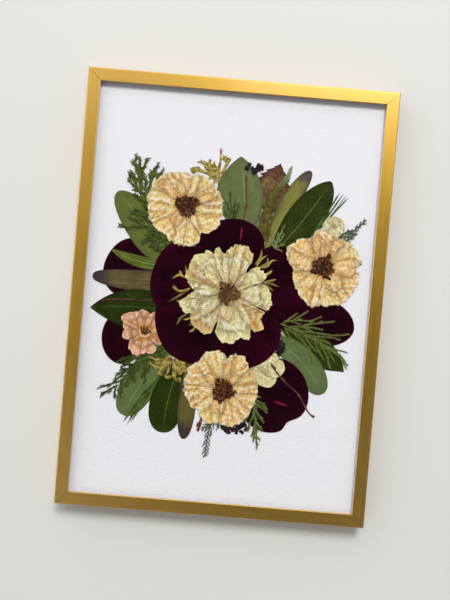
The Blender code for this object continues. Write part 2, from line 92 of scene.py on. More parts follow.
def smoothStep(value, low, high):
    # 0 up to low, 1 from high on, and t * t * (3 - 2t) between them
    t = np.clip((value - low) / (high - low), 0.0, 1.0)
    return t * t * (3 - 2 * t)


def makePile(low, high, step, height):
    # a map of how high things lie: its low corner, the size of its cells and the height of each
    shape = (int((high[1] - low[1]) / step) + 1, int((high[0] - low[0]) / step) + 1)
    return {"low": low, "step": step, "height": np.full(shape, float(height))}


def pileCells(pile, x, y):
    # the row and column where each point falls, with their fractions, kept one cell inside the map
    rows, columns = pile["height"].shape
    column = np.clip((x - pile["low"][0]) / pile["step"], 0, columns - 1.001)
    row = np.clip((y - pile["low"][1]) / pile["step"], 0, rows - 1.001)
    return row, column


def readPile(pile, x, y, reach=2):
    # the highest point within reach cells, then the average over as many cells: never lower than the pile
    height = pile["height"]
    for axis in (0, 1):
        height = np.max([np.roll(height, k, axis) for k in range(-reach - 1, reach + 2)],
                        axis=0) if reach else height
    for axis in (0, 1):
        height = np.mean([np.roll(height, k, axis) for k in range(-reach, reach + 1)], axis=0)
    row, column = pileCells(pile, x, y)
    r, c = row.astype(int), column.astype(int)
    fr, fc = row - r, column - c
    low = height[r, c] * (1 - fc) + height[r, c + 1] * fc
    high = height[r + 1, c] * (1 - fc) + height[r + 1, c + 1] * fc
    return low * (1 - fr) + high * fr


def coverPile(pile, x, y, z):
    # raises the map to each point that lies above it
    row, column = pileCells(pile, x, y)
    np.maximum.at(pile["height"],
                  (row.round().astype(int).ravel(), column.round().astype(int).ravel()), z.ravel())


pileSize, pileCell = (216.0, 304.0), 0.5
# the least room that strands and petals leave under the glass
glassGap = 0.08
pile = makePile((-pileSize[0] / 2, -pileSize[1] / 2), (pileSize[0] / 2, pileSize[1] / 2), pileCell, cardTop)


def restOnPile(x, y, reach=2):
    # the height at which something pressed down on the pile comes to rest
    return readPile(pile, x, y, reach) + pressGap


def underGlass(z, gap, half=0.0):
    # lowers what would come nearer to the glass than the gap and half of its own thickness
    return np.minimum(z, glassLow - gap - half)


def layPaths(paths, height, lift=0.0):
    # lays paths of that thickness on the pile, clear of the glass, and raises the pile to their tops
    x, y = paths[..., 0], paths[..., 1]
    paths[..., 2] = underGlass(restOnPile(x, y) + height / 2 + lift, glassGap, height / 2)
    coverPile(pile, x, y, paths[..., 2] + height / 2)


def flatPaths(lines):
    # lines in plan as paths that still have a height of zero
    return np.array([np.hstack([line, np.zeros((len(line), 1))]) for line in lines])


def sheetPart(x, y, z, thin, skin=0, **marks):
    # a thin closed sheet: the grid, the same grid lowered by its thickness, and a wall of quads round the
    # rim
    rows, columns = x.shape
    count = rows * columns
    index = np.arange(count).reshape(rows, columns)
    top = np.stack([index[:-1, :-1], index[1:, :-1], index[1:, 1:], index[:-1, 1:]], -1).reshape(-1, 4)
    rim = np.concatenate([index[0, :-1], index[:-1, -1], index[-1, :0:-1], index[:0:-1, 0]])
    after = np.roll(rim, -1)
    wall = np.stack([rim, after, after + count, rim + count], -1)
    quads = np.vstack([top, top[:, ::-1] + count, wall])
    px, py = x.ravel()[top], y.ravel()[top]
    area = np.sum(px * np.roll(py, -1, 1) - np.roll(px, -1, 1) * py)
    if area < 0:
        quads = quads[:, ::-1]
    upper = np.stack([x, y, z], -1).reshape(-1, 3)
    points = np.vstack([upper, upper - [0, 0, thin]])
    marks = {k: np.tile(np.broadcast_to(v, x.shape).ravel(), 2) for k, v in marks.items()}
    return {"points": points, "faces": [quads], "marks": marks, "skin": skin}


def tubePart(paths, widths, heights, around=6, skin=0, **marks):
    # rings round many paths at once: each ring is an ellipse, across the path in plan and upwards
    paths = np.asarray(paths, float)
    count, along = paths.shape[:2]
    ahead = np.gradient(paths, axis=1)
    across = np.stack([-ahead[..., 1], ahead[..., 0]], -1)
    across /= np.maximum(np.hypot(across[..., 0], across[..., 1]), 1e-9)[..., None]
    angle = np.arange(around) / around * 2 * math.pi
    widths, heights = (np.broadcast_to(v, (count, along)) for v in (widths, heights))
    points = np.zeros((count, along, around, 3))
    sideways = (widths[..., None] / 2 * np.cos(angle))[..., None]
    points[..., :2] = paths[:, :, None, :2] + across[:, :, None] * sideways
    points[..., 2] = paths[:, :, None, 2] + heights[..., None] / 2 * np.sin(angle)
    index = np.arange(count * along * around).reshape(count, along, around)
    after = np.roll(index, -1, 2)
    quads = np.stack([index[:, :-1], after[:, :-1], after[:, 1:], index[:, 1:]], -1).reshape(-1, 4)
    caps = np.vstack([index[:, 0, ::-1], index[:, -1]])
    full = {k: np.repeat(np.broadcast_to(v, (count, along)).ravel(), around) for k, v in marks.items()}
    return {"points": points.reshape(-1, 3), "faces": [quads, caps], "marks": full, "skin": skin}


def makePiece(name, parts, materials, node=None, sharp=50.0):
    # joins parts into one mesh in metres, rides it on the frame and lets it stand for its CAD node
    points = np.vstack([part["points"] for part in parts]) * mm
    starts = np.cumsum([0] + [len(part["points"]) for part in parts])
    faces, skins = [], []
    for part, start in zip(parts, starts):
        for block in part["faces"]:
            faces.append(block + start)
            skins.append(np.full(len(block), part["skin"]))
    mesh = bpy.data.meshes.new(name)
    mesh.vertices.add(len(points))
    mesh.vertices.foreach_set("co", points.astype(np.float32).ravel())
    corners = np.concatenate([block.ravel() for block in faces])
    sizes = np.concatenate([np.full(len(block), block.shape[1]) for block in faces])
    mesh.loops.add(len(corners))
    mesh.loops.foreach_set("vertex_index", corners.astype(np.int32))
    mesh.polygons.add(len(sizes))
    mesh.polygons.foreach_set("loop_start", np.concatenate([[0], np.cumsum(sizes)[:-1]]).astype(np.int32))
    mesh.polygons.foreach_set("loop_total", sizes.astype(np.int32))
    mesh.polygons.foreach_set("use_smooth", np.ones(len(sizes), bool))
    for material in materials:
        mesh.materials.append(material)
    mesh.polygons.foreach_set("material_index", np.concatenate(skins).astype(np.int32))
    for key in sorted({k for part in parts for k in part["marks"]}):
        values = [part["marks"].get(key, np.zeros(len(part["points"]))) for part in parts]
        attribute = mesh.attributes.new(key, "FLOAT", "POINT")
        attribute.data.foreach_set("value", np.concatenate(values).astype(np.float32))
    mesh.update(calc_edges=True)
    mesh.validate()
    mesh.set_sharp_from_angle(angle=math.radians(sharp))
    piece = bpy.data.objects.new(name, mesh)
    bpy.context.scene.collection.objects.link(piece)
    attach(piece, "root")
    if node:
        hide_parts(node)
    return piece


def connect(tree, socket, value):
    # gives a socket its value, or links it to another node's output
    if isinstance(value, bpy.types.NodeSocket):
        tree.links.new(value, socket)
    else:
        socket.default_value = value


def put(tree, kind, inputs=None, **settings):
    # a node with its settings and its inputs
    node = tree.nodes.new(kind)
    for key, value in settings.items():
        setattr(node, key, value)
    for key, value in (inputs or {}).items():
        connect(tree, node.inputs[key], value)
    return node


def maths(tree, operation, first, second=0.0, clamp=False):
    return put(tree, "ShaderNodeMath", {0: first, 1: second},
               operation=operation, use_clamp=clamp).outputs[0]


def times(tree, first, second):
    return maths(tree, "MULTIPLY", first, second)


def plus(tree, first, second, clamp=False):
    return maths(tree, "ADD", first, second, clamp)


def minus(tree, first, second, clamp=False):
    return maths(tree, "SUBTRACT", first, second, clamp)


def apart(tree, first, second):
    # how far two values are apart, |first - second|
    return maths(tree, "ABSOLUTE", minus(tree, first, second))


def weigh(tree, first, second, share):
    # share of the first value and the rest of the second
    return plus(tree, times(tree, first, share), times(tree, second, 1 - share))


def step(tree, value, low, high, start=0.0, end=1.0):
    # from start at low to end at high, eased at both ends
    inputs = {"Value": value, "From Min": low, "From Max": high, "To Min": start, "To Max": end}
    return put(tree, "ShaderNodeMapRange", inputs, interpolation_type="SMOOTHSTEP").outputs["Result"]


def blend(tree, factor, first, second, mode="MIX"):
    # two colours mixed; 6 and 7 are the colour inputs of the mix node and 2 is its colour output
    inputs = {0: factor, 6: first, 7: second}
    return put(tree, "ShaderNodeMix", inputs, data_type="RGBA",
               blend_type=mode, clamp_factor=True).outputs[2]


def tint(tree, colour, mask, amount, screen):
    # leans a colour to a screen colour by the mask times the amount
    return blend(tree, times(tree, mask, amount), colour, screenColour(*screen))


def mark(tree, name):
    # a value that makePiece stored on the points of the mesh
    return put(tree, "ShaderNodeAttribute", attribute_name=name).outputs["Fac"]


def place(tree, scale=(1.0, 1.0, 1.0), turn=0.0):
    # the piece's own coordinates, in metres, stretched and turned
    coordinates = put(tree, "ShaderNodeTexCoord").outputs["Object"]
    return put(tree, "ShaderNodeMapping",
               {"Vector": coordinates, "Scale": scale, "Rotation": (0, 0, turn)}).outputs[0]


def grain(tree, vector, scale, detail=3.0, roughness=0.55, distortion=0.0):
    # layered soft noise, from 0 to 1
    inputs = {"Vector": vector, "Scale": scale, "Detail": detail,
              "Roughness": roughness, "Distortion": distortion}
    return put(tree, "ShaderNodeTexNoise", inputs).outputs["Fac"]


def newMaterial(name):
    # an empty material with one shader on its output
    material = bpy.data.materials.new(name)
    material.use_nodes = True
    tree = material.node_tree
    tree.nodes.clear()
    output = put(tree, "ShaderNodeOutputMaterial")
    shader = put(tree, "ShaderNodeBsdfPrincipled")
    tree.links.new(shader.outputs[0], output.inputs[0])
    return material, tree, shader


shaderSockets = {
    "Base": "Base Color", "Specular": "Specular IOR Level",
    "Transmission": "Transmission Weight", "Sheen": "Sheen Weight",
    "SheenTint": "Sheen Tint", "SheenRoughness": "Sheen Roughness", "Coat": "Coat Weight",
    "CoatRoughness": "Coat Roughness", "CoatIor": "Coat IOR",
}


def feed(tree, shader, **inputs):
    # sets or links the shader's inputs, by the short names above
    for key, value in inputs.items():
        connect(tree, shader.inputs[shaderSockets.get(key, key)], value)


def addRelief(tree, shader, height, distance, strength=1.0, over=None):
    # the height as a bump on the shader's normal, laid over a broader one if that is given
    inputs = {"Height": height, "Distance": distance, "Strength": strength}
    if over is not None:
        inputs["Normal"] = over
    normal = put(tree, "ShaderNodeBump", inputs).outputs[0]
    feed(tree, shader, Normal=normal)
    return normal


def makeGroup(name, inputs, outputs):
    # an empty node group and the sockets of its two ends
    group = bpy.data.node_groups.new(name, "ShaderNodeTree")
    for label, kind, value in inputs:
        socket = group.interface.new_socket(label, in_out="INPUT", socket_type=kind)
        socket.default_value = value
    for label, kind in outputs:
        group.interface.new_socket(label, in_out="OUTPUT", socket_type=kind)
    return group, put(group, "NodeGroupInput").outputs, put(group, "NodeGroupOutput").inputs


def useGroup(tree, group, **inputs):
    # a node that runs a group, with its inputs set or linked
    node = tree.nodes.new("ShaderNodeGroup")
    node.node_tree = group
    for key, value in inputs.items():
        connect(tree, node.inputs[key], value)
    return node.outputs


# dry mottling: two sizes of noise on the piece's own coordinates, broad patches and a fine relief
dryMottle, dryIn, dryOut = makeGroup(
    "dryMottle",
    [("PatchScale", "NodeSocketFloat", 90.0),
     ("FineScale", "NodeSocketFloat", 900.0), ("Seed", "NodeSocketFloat", 0.0)],
    [("Patch", "NodeSocketFloat"), ("Fine", "NodeSocketFloat")],
)
shifted = put(dryMottle, "ShaderNodeVectorMath", {
    0: put(dryMottle, "ShaderNodeTexCoord").outputs["Object"], 1: dryIn["Seed"]}, operation="ADD").outputs[0]
dryMottle.links.new(step(dryMottle, grain(dryMottle, shifted, dryIn["PatchScale"], 4.0), 0.3, 0.7),
                    dryOut["Patch"])
dryMottle.links.new(grain(dryMottle, shifted, dryIn["FineScale"], 3.0, 0.6), dryOut["Fine"])

# leaf veins: side veins leave the midrib at a slant, where along * count - across ^ 1.3 * slant is a whole
# number
leafVeins, veinIn, veinOut = makeGroup(
    "leafVeins",
    [("Count", "NodeSocketFloat", 9.0), ("Slant", "NodeSocketFloat", 2.0),
     ("Width", "NodeSocketFloat", 0.12),
     ("Wander", "NodeSocketFloat", 0.3)],
    [("Veins", "NodeSocketFloat"), ("Net", "NodeSocketFloat")],
)
acrossLeaf = maths(leafVeins, "ABSOLUTE", mark(leafVeins, "across"))
bendOut = times(leafVeins, maths(leafVeins, "POWER", acrossLeaf, 1.3), veinIn["Slant"])
wander = times(leafVeins, grain(leafVeins, place(leafVeins), 160.0, 2.0), veinIn["Wander"])
veinPhase = minus(leafVeins, times(leafVeins, mark(leafVeins, "along"), veinIn["Count"]), bendOut)
veinPhase = plus(leafVeins, veinPhase, wander)
fromVein = apart(leafVeins, maths(leafVeins, "FRACT", veinPhase), 0.5)
veinLine = minus(leafVeins, 1.0, maths(leafVeins, "DIVIDE", fromVein, veinIn["Width"]), clamp=True)
fade = step(leafVeins, acrossLeaf, 0.95, 0.55)
leafVeins.links.new(times(leafVeins, veinLine, fade), veinOut["Veins"])
cells = put(leafVeins, "ShaderNodeTexVoronoi",
            {"Vector": place(leafVeins), "Scale": 900.0}, feature="DISTANCE_TO_EDGE")
leafVeins.links.new(step(leafVeins, cells.outputs["Distance"], 0.0, 0.14, 1.0, 0.0), veinOut["Net"])


# crease lines: soft noise makes a thin line wherever it passes one half
creaseLines, creaseIn, creaseOut = makeGroup(
    "creaseLines",
    [("Scale", "NodeSocketFloat", 620.0), ("Width", "NodeSocketFloat", 0.07)],
    [("Lines", "NodeSocketFloat"), ("Ridges", "NodeSocketFloat")],
)
fromLine = grain(creaseLines, place(creaseLines), creaseIn["Scale"], 3.0, 0.6, 0.8)
fromLine = apart(creaseLines, fromLine, 0.5)
creaseLines.links.new(fromLine, creaseOut["Ridges"])
creaseLines.links.new(step(creaseLines, fromLine, creaseIn["Width"], 0.0), creaseOut["Lines"])


goldRail = {
    "bright": screenColour(227, 180, 66), "deep": screenColour(221, 170, 56),
    "roughness": 0.33, "streakLength": 0.03, "streakScale": 900.0, "streakDepth": 0.0002,
    "coat": 1.0, "coatRoughness": 0.16, "coatIor": 1.75,
}


def goldMaterial(name, alongX):
    # brushed anodised metal: noise drawn out along the rail, in its colour, roughness and relief
    material, tree, shader = newMaterial(name)
    stretched = (goldRail["streakLength"], 1.0, 1.0) if alongX else (1.0, goldRail["streakLength"], 1.0)
    streaks = grain(tree, place(tree, stretched), goldRail["streakScale"], 4.0, 0.65)
    broad = grain(tree, place(tree, stretched), 60.0, 2.0)
    tone = weigh(tree, streaks, broad, 0.6)
    smooth, rough = goldRail["roughness"] - 0.03, goldRail["roughness"] + 0.04
    feed(tree, shader, Base=blend(tree, step(tree, tone, 0.25, 0.75), goldRail["deep"], goldRail["bright"]),
         Metallic=1.0, Roughness=step(tree, streaks, 0.3, 0.7, smooth, rough), Coat=goldRail["coat"],
         CoatRoughness=goldRail["coatRoughness"], CoatIor=goldRail["coatIor"])
    addRelief(tree, shader, streaks, goldRail["streakDepth"], 0.03)
    return material


whiteCard = {
    "top": screenColour(239, 235, 240), "shade": screenColour(229, 226, 232),
    "roughness": 0.92, "toothScale": 850.0, "tooth": 0.8, "toothDepth": 0.0004,
}


def cardMaterial():
    # cold-pressed card: rounded felt marks of two sizes, mostly in the relief
    material, tree, shader = newMaterial("whiteCard")
    tooth = grain(tree, place(tree), whiteCard["toothScale"], 3.0, 0.55, 0.4)
    felt = grain(tree, place(tree), whiteCard["toothScale"] / 4, 2.0)
    feed(tree, shader, Base=blend(tree, tooth, whiteCard["shade"], whiteCard["top"]),
         Roughness=whiteCard["roughness"], Specular=0.0)
    addRelief(tree, shader, plus(tree, tooth, times(tree, felt, 0.5)),
              whiteCard["toothDepth"], whiteCard["tooth"])
    return material


clearGlass = {"colour": (0.985, 0.995, 0.99, 1.0), "shadow": (0.97, 0.98, 0.975, 1.0), "ior": 1.46}


def glassMaterial():
    # clear glass that lets shadow rays and soft light straight through, so that what lies behind is lit
    material, tree, shader = newMaterial("clearGlass")
    feed(tree, shader, Base=clearGlass["colour"], Roughness=0.0,
         IOR=clearGlass["ior"], Metallic=0.0, Transmission=1.0)
    clear = put(tree, "ShaderNodeBsdfTransparent", {"Color": clearGlass["shadow"]})
    path = put(tree, "ShaderNodeLightPath").outputs
    passing = maths(tree, "MAXIMUM", path["Is Shadow Ray"], path["Is Diffuse Ray"])
    mix = put(tree, "ShaderNodeMixShader", {0: passing, 1: shader.outputs[0], 2: clear.outputs[0]})
    output = next(node for node in tree.nodes if node.type == "OUTPUT_MATERIAL")
    tree.links.new(mix.outputs[0], output.inputs[0])
    return material


hardboard = {"dark": (0.13, 0.07, 0.035, 1),
             "light": (0.30, 0.18, 0.095, 1), "fibreScale": 900.0, "fibreDepth": 0.0003}
zincSteel = {"dark": (0.42, 0.43, 0.45, 1), "light": (0.66, 0.67, 0.69, 1),
             "spangleScale": 420.0, "rollScale": 1400.0}


def boardMaterial():
    # pressed hardboard: short fibres in two browns
    material, tree, shader = newMaterial("hardboard")
    fibres = grain(tree, place(tree, (1.0, 0.35, 1.0), 0.6), hardboard["fibreScale"], 5.0, 0.7)
    clumps = grain(tree, place(tree), 120.0, 4.0)
    tone = step(tree, weigh(tree, fibres, clumps, 0.6), 0.36, 0.62)
    feed(tree, shader, Base=blend(tree, tone, hardboard["dark"], hardboard["light"]),
         Roughness=step(tree, fibres, 0.3, 0.7, 0.55, 0.75))
    addRelief(tree, shader, fibres, hardboard["fibreDepth"], 0.25)
    return material


def zincMaterial():
    # zinc plated sheet: soft spangle and a few rolling marks
    material, tree, shader = newMaterial("zincSteel")
    cells = put(tree, "ShaderNodeTexVoronoi", {"Vector": place(tree), "Scale": zincSteel["spangleScale"]})
    rolled = grain(tree, place(tree, (0.1, 1.0, 1.0)), zincSteel["rollScale"])
    tone = weigh(tree, cells.outputs["Distance"], rolled, 0.6)
    feed(tree, shader, Base=blend(tree, tone, zincSteel["dark"], zincSteel["light"]), Metallic=1.0,
         Roughness=step(tree, tone, 0.2, 0.8, 0.28, 0.46))
    return material


def finishFrame():
    # materials for the solids that are shown as they are; the grain of a rail runs along it
    goldX, goldY = goldMaterial("goldAlongX", True), goldMaterial("goldAlongY", False)
    zinc = zincMaterial()
    looks = {"rail_bottom": goldX, "rail_top": goldX, "rail_left": goldY, "rail_right": goldY,
             "glazing": glassMaterial(), "backing_card": cardMaterial(), "backing_board": boardMaterial()}
    for name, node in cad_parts.items():
        if name.startswith(("corner_key", "tab_", "sawtooth")):
            looks[name] = zinc
        if name in looks:
            node.data.materials.clear()
            node.data.materials.append(looks[name])


finishFrame()
print("frame, glass, card and back finished")


# every leaf: base, tip, bend, width, fullest place, tip roundness and lean are its outline; its level says
# what it lies on. blade and blade2 are mottled together, rib is the midrib, edge colours the margin and
# tipColour the tip; veins are count, slant, width and wander; folds are the size and strength of the dry
# creases in the fold colour.
greyGreen = dict(blade=(84, 96, 50), blade2=(98, 108, 60),
                 rib=(122, 134, 84), edge=(66, 76, 34), edgeAmount=0.4,
                 veins=(8, 2.4, 0.10, 0.5), veinAmount=0.10,
                 gloss=0.62, shine=0.08, ribWidth=0.5, quilt=0.02)
glossyGreen = dict(blade=(26, 38, 2), blade2=(38, 50, 6),
                   rib=(88, 102, 44), edge=(18, 26, 2), edgeAmount=0.4,
                   veins=(13, 3.2, 0.09, 0.4), veinAmount=0.16,
                   gloss=0.36, shine=0.035, netBump=0.7, ribWidth=0.5,
                   quilt=0.05, crinkle=0.07, fold=(66, 80, 30), folds=(460.0, 0.16))
fibrous = dict(veins=(2.0, 0.0, 0.1, 0.5), veinAmount=0.0, gloss=0.6, ribWidth=0.4, quilt=0.0, tipAmount=1.0)
leaves = {
    "leaf_left_round": dict(
        outline=((-44.0, 27.0), (-82.6, 67.5), -2.0, 26.5, 0.36, 0.50, 0.12), level=1, slot="green_leaf",
        look=dict(greyGreen, blade=(84, 92, 40), blade2=(98, 106, 50),
                  tipColour=(80, 88, 40), tipAmount=0.35)),
    "leaf_top_broad": dict(
        outline=((10.5, 41.5), (1.7, 99.4), -0.8, 32.3, 0.54, 0.85, 0.22), level=2, slot="green_leaf",
        look=dict(greyGreen, blade=(88, 98, 56), blade2=(102, 110, 68),
                  rib=(126, 136, 96), tipColour=(98, 72, 66), tipAmount=0.4)),
    "leaf_top_serrated": dict(
        outline=((23.5, 48.0), (29.8, 97.2), 1.2, 23.0, 0.65, 1.50, 0.11),
        level=0, slot="olive_leaf", teeth=(13, 0.17),
        look=dict(blade=(98, 66, 50), blade2=(136, 116, 70),
                  rib=(96, 42, 44), edge=(78, 14, 36), edgeAmount=1.0,
                  veins=(11, 2.6, 0.16, 0.5), veinAmount=0.5,
                  gloss=0.7, ribWidth=0.5, quilt=0.2, edgeStart=0.62,
                  crinkle=0.5, netBump=0.4, fold=(62, 26, 26), folds=(300.0, 0.75),
                  tipColour=(88, 22, 38), tipAmount=0.9, tipStart=0.78)),
    "leaf_top_long": dict(
        outline=((24.0, 32.0), (51.3, 93.3), 2.4, 12.8, 0.60, 0.48, 0.05), level=1, slot="olive_leaf",
        look=dict(fibrous, blade=(126, 124, 58),
                  blade2=(104, 102, 42), rib=(146, 142, 80), edge=(76, 66, 46),
                  edgeAmount=0.8, edgeStart=0.45, streaks=0.5, tipColour=(74, 56, 62), tipStart=0.80)),
    "leaf_right_laurel": dict(
        outline=((28.0, 32.0), (65.9, 87.2), -1.8, 24.6, 0.55, 0.68, 0.0), level=2, slot="dark_leaf",
        look=dict(glossyGreen, blade=(24, 33, 2), blade2=(41, 51, 10),
                  rib=(108, 120, 58), tipColour=(56, 62, 22), tipAmount=0.3,
                  quilt=0.05, crinkle=0.10, veinAmount=0.2)),
    "leaf_left_slender": dict(
        outline=((-42.0, 19.4), (-83.2, 27.7), 2.9, 8.2, 0.42, 0.76, 0.0), level=2, slot="dark_leaf",
        look=dict(fibrous, blade=(66, 80, 10), blade2=(46, 58, 4), rib=(140, 148, 78), edge=(84, 102, 30),
                  edgeAmount=0.5, streaks=0.55, gloss=0.45, ribWidth=0.35,
                  tipColour=(124, 128, 70), tipAmount=0.6)),
    "leaf_left_long": dict(
        outline=((-34.3, 8.6), (-94.7, 8.4), 1.1, 14.7, 0.36, 0.35, 0.0), level=1, slot="olive_leaf",
        look=dict(fibrous, blade=(112, 104, 58), blade2=(88, 78, 42), rib=(60, 40, 38), edge=(66, 52, 44),
                  edgeAmount=0.6, edgeStart=0.6, streaks=0.8, tipColour=(62, 50, 56), tipStart=0.68)),
    "leaf_left_dark": dict(
        outline=((-33.8, -12.8), (-94.7, -14.0), -2.3, 28.2, 0.44, 0.93, 0.12), level=2, slot="dark_leaf",
        look=dict(glossyGreen, blade=(22, 34, 2), blade2=(34, 46, 6),
                  rib=(70, 84, 34), quilt=0.12, tipColour=(80, 96, 48), tipAmount=0.5, gloss=0.32)),
    "leaf_low_pale": dict(
        outline=((-37.0, -31.0), (-66.5, -87.0), -0.5, 24.5, 0.56, 0.42, 0.0), level=0, slot="green_leaf",
        look=dict(greyGreen, blade=(84, 98, 52), blade2=(98, 110, 62),
                  tipColour=(112, 126, 80), tipAmount=0.3)),
    "leaf_low_dark": dict(
        outline=((-23.5, -37.5), (-36.7, -97.3), -3.6, 23.6, 0.69, 0.45, -0.05), level=2, slot="dark_leaf",
        look=dict(glossyGreen, blade=(24, 36, 2), blade2=(36, 48, 6),
                  rib=(92, 106, 50), quilt=0.12, tipColour=(56, 76, 30), tipAmount=0.2)),
    "leaf_low_olive": dict(
        outline=((-22.0, -39.0), (-22.3, -100.7), 0.6, 12.3, 0.64, 0.49, 0.0), level=3, slot="olive_leaf",
        look=dict(fibrous, blade=(96, 86, 36), blade2=(78, 70, 28), rib=(112, 104, 60), edge=(74, 56, 54),
                  edgeAmount=0.9, edgeStart=0.6, streaks=0.4, tipColour=(58, 44, 48), tipStart=0.75)),
    "leaf_right_pale": dict(
        outline=((33.0, -24.0), (71.8, -61.5), 4.5, 20.0, 0.60, 0.42, 0.0), level=2, slot="green_leaf",
        look=dict(greyGreen, blade=(82, 96, 56), blade2=(98, 110, 70),
                  tipColour=(78, 92, 50), tipAmount=0.5)),
    "leaf_right_dark": dict(
        outline=((30.5, -14.5), (86.1, -44.8), 5.4, 21.6, 0.62, 1.10, -0.28), level=1, slot="dark_leaf",
        look=dict(glossyGreen, blade=(30, 42, 4), blade2=(46, 58, 10),
                  tipColour=(46, 58, 14), tipAmount=0.4)),
}


def leafGrid(outline, rows, columns, teeth=None):
    # a blade along a bent midrib: half width is s^p (1-s)^q scaled to one at the fullest place; teeth
    # scallop it
    base, tip, bend, width, fullest, roundness, lean = outline
    s = (0.5 - 0.5 * np.cos(np.linspace(0.02, 0.98, rows) * math.pi))[:, None]
    t = np.linspace(-1.0, 1.0, columns)[None, :]
    base, tip = np.array(base), np.array(tip)
    run = tip - base
    side = np.array([-run[1], run[0]]) / np.hypot(*run)
    rise = (s / fullest) ** (roundness * fullest / (1 - fullest))
    half = width / 2 * rise * ((1 - s) / (1 - fullest)) ** roundness
    if teeth:
        count, depth = teeth
        half = half * (1 + depth * (1 - 2 * np.mod(s * count, 1.0)) * np.abs(t) ** 4)
    middle = base + s * run + 4 * bend * s * (1 - s) * side
    ahead = run + 4 * bend * (1 - 2 * s) * side
    across = np.stack([-ahead[:, 1], ahead[:, 0]], 1) / np.hypot(ahead[:, 0], ahead[:, 1])[:, None]
    offset = half * (t + lean * np.abs(t))
    return middle[:, :1] + across[:, :1] * offset, middle[:, 1:] + across[:, 1:] * offset, s, t, offset


def leafMaterial(name, look):
    # mottled blade, pale midrib and side veins, tinted margin and tip; the veins and fibres also make its
    # relief
    material, tree, shader = newMaterial(name)
    mottle = useGroup(tree, dryMottle, PatchScale=70.0, FineScale=1100.0, Seed=float(len(name)))
    count, slant, width, wander = look["veins"]
    veins = useGroup(tree, leafVeins, Count=float(count), Slant=float(slant), Width=width, Wander=wander)
    along, offset = mark(tree, "along"), mark(tree, "offset")
    across = maths(tree, "ABSOLUTE", mark(tree, "across"))
    colour = blend(tree, mottle["Patch"], screenColour(*look["blade"]), screenColour(*look["blade2"]))
    relief = times(tree, mottle["Fine"], 0.35)
    if look.get("streaks"):
        fibres = put(tree, "ShaderNodeCombineXYZ", {0: times(tree, offset, 2.2), 1: times(tree, along, 2.0)})
        lines = step(tree, grain(tree, fibres.outputs[0], 1.0, 4.0, 0.6), 0.42, 0.66)
        colour = tint(tree, colour, lines, look["streaks"], look["rib"])
        relief = plus(tree, relief, lines)
    if look["veinAmount"]:
        colour = tint(tree, colour, veins["Veins"], look["veinAmount"], look["rib"])
        colour = tint(tree, colour, veins["Net"], look["veinAmount"] * 0.35, look["rib"])
        relief = minus(tree, relief, veins["Veins"])
    ragged = times(tree, minus(tree, mottle["Patch"], 0.5), 0.16)
    edge = step(tree, plus(tree, across, ragged), look.get("edgeStart", 0.8), 1.0)
    colour = tint(tree, colour, edge, look["edgeAmount"], look["edge"])
    tip = step(tree, plus(tree, along, ragged), look.get("tipStart", 0.86), 1.0)
    colour = tint(tree, colour, tip, look["tipAmount"], look["tipColour"])
    ribLine = step(tree, maths(tree, "ABSOLUTE", offset), look["ribWidth"], look["ribWidth"] * 0.3)
    ribLine = times(tree, ribLine, step(tree, along, 0.98, 0.75))
    colour = tint(tree, colour, ribLine, 0.75, look["rib"])
    if "fold" in look:
        foldScale, foldAmount = look["folds"]
        creases = useGroup(tree, creaseLines, Scale=foldScale, Width=0.09)
        colour = tint(tree, colour, creases["Lines"], foldAmount, look["fold"])
        relief = plus(tree, relief, times(tree, creases["Ridges"], 6.0 * foldAmount))
    gloss = step(tree, mottle["Fine"], 0.3, 0.7, look["gloss"] - 0.06, look["gloss"] + 0.1)
    feed(tree, shader, Base=colour, Roughness=gloss, Specular=look.get("shine", 0.08))
    addRelief(tree, shader, relief, look.get("netBump", 0.2) * mm, 0.35)
    return material


leafSheet = {"rows": 96, "columns": 45, "thick": 0.10,
             "rib": 0.10, "ribReach": 0.7, "wave": 0.10, "ripple": 0.02}


def makeLeaf(name, leaf, seed):
    # the midrib stands up by exp(-(offset / reach)^2), the blade bulges between its side veins by
    # cos(2 pi (s count - t^1.3 slant)), waves towards its margin and is crinkled where it dried
    look, sheet = leaf["look"], leafSheet
    seed = seed + len(name) * 3 + int(abs(leaf["outline"][0][0]))
    x, y, s, t, offset = leafGrid(leaf["outline"], sheet["rows"], sheet["columns"], leaf.get("teeth"))
    rib = np.exp(-(offset / sheet["ribReach"]) ** 2) * (1 - s)
    count, slant = look["veins"][:2]
    quilt = np.cos(2 * math.pi * (s * count - np.abs(t) ** 1.3 * slant)) * np.abs(t) * (1 - t * t) * 2
    wave = cloud(x, y, 9.0, seed) * sheet["wave"] * np.abs(t) ** 2
    wave = wave + cloud(x, y, 3.0, seed + 9) * sheet["ripple"]
    crinkle = wrinkles(x, y, 2.6, seed + 5)
    relief = sheet["rib"] * rib + look["quilt"] * quilt + wave + look.get("crinkle", 0.0) * crinkle
    z = restOnPile(x, y) + relief - relief.min() * 0.6
    coverPile(pile, x, y, z)
    part = sheetPart(x, y, z, sheet["thick"], along=s, across=t, offset=offset)
    makePiece(name + "_pressed", [part], [leafMaterial(name + "Skin", look)], name)


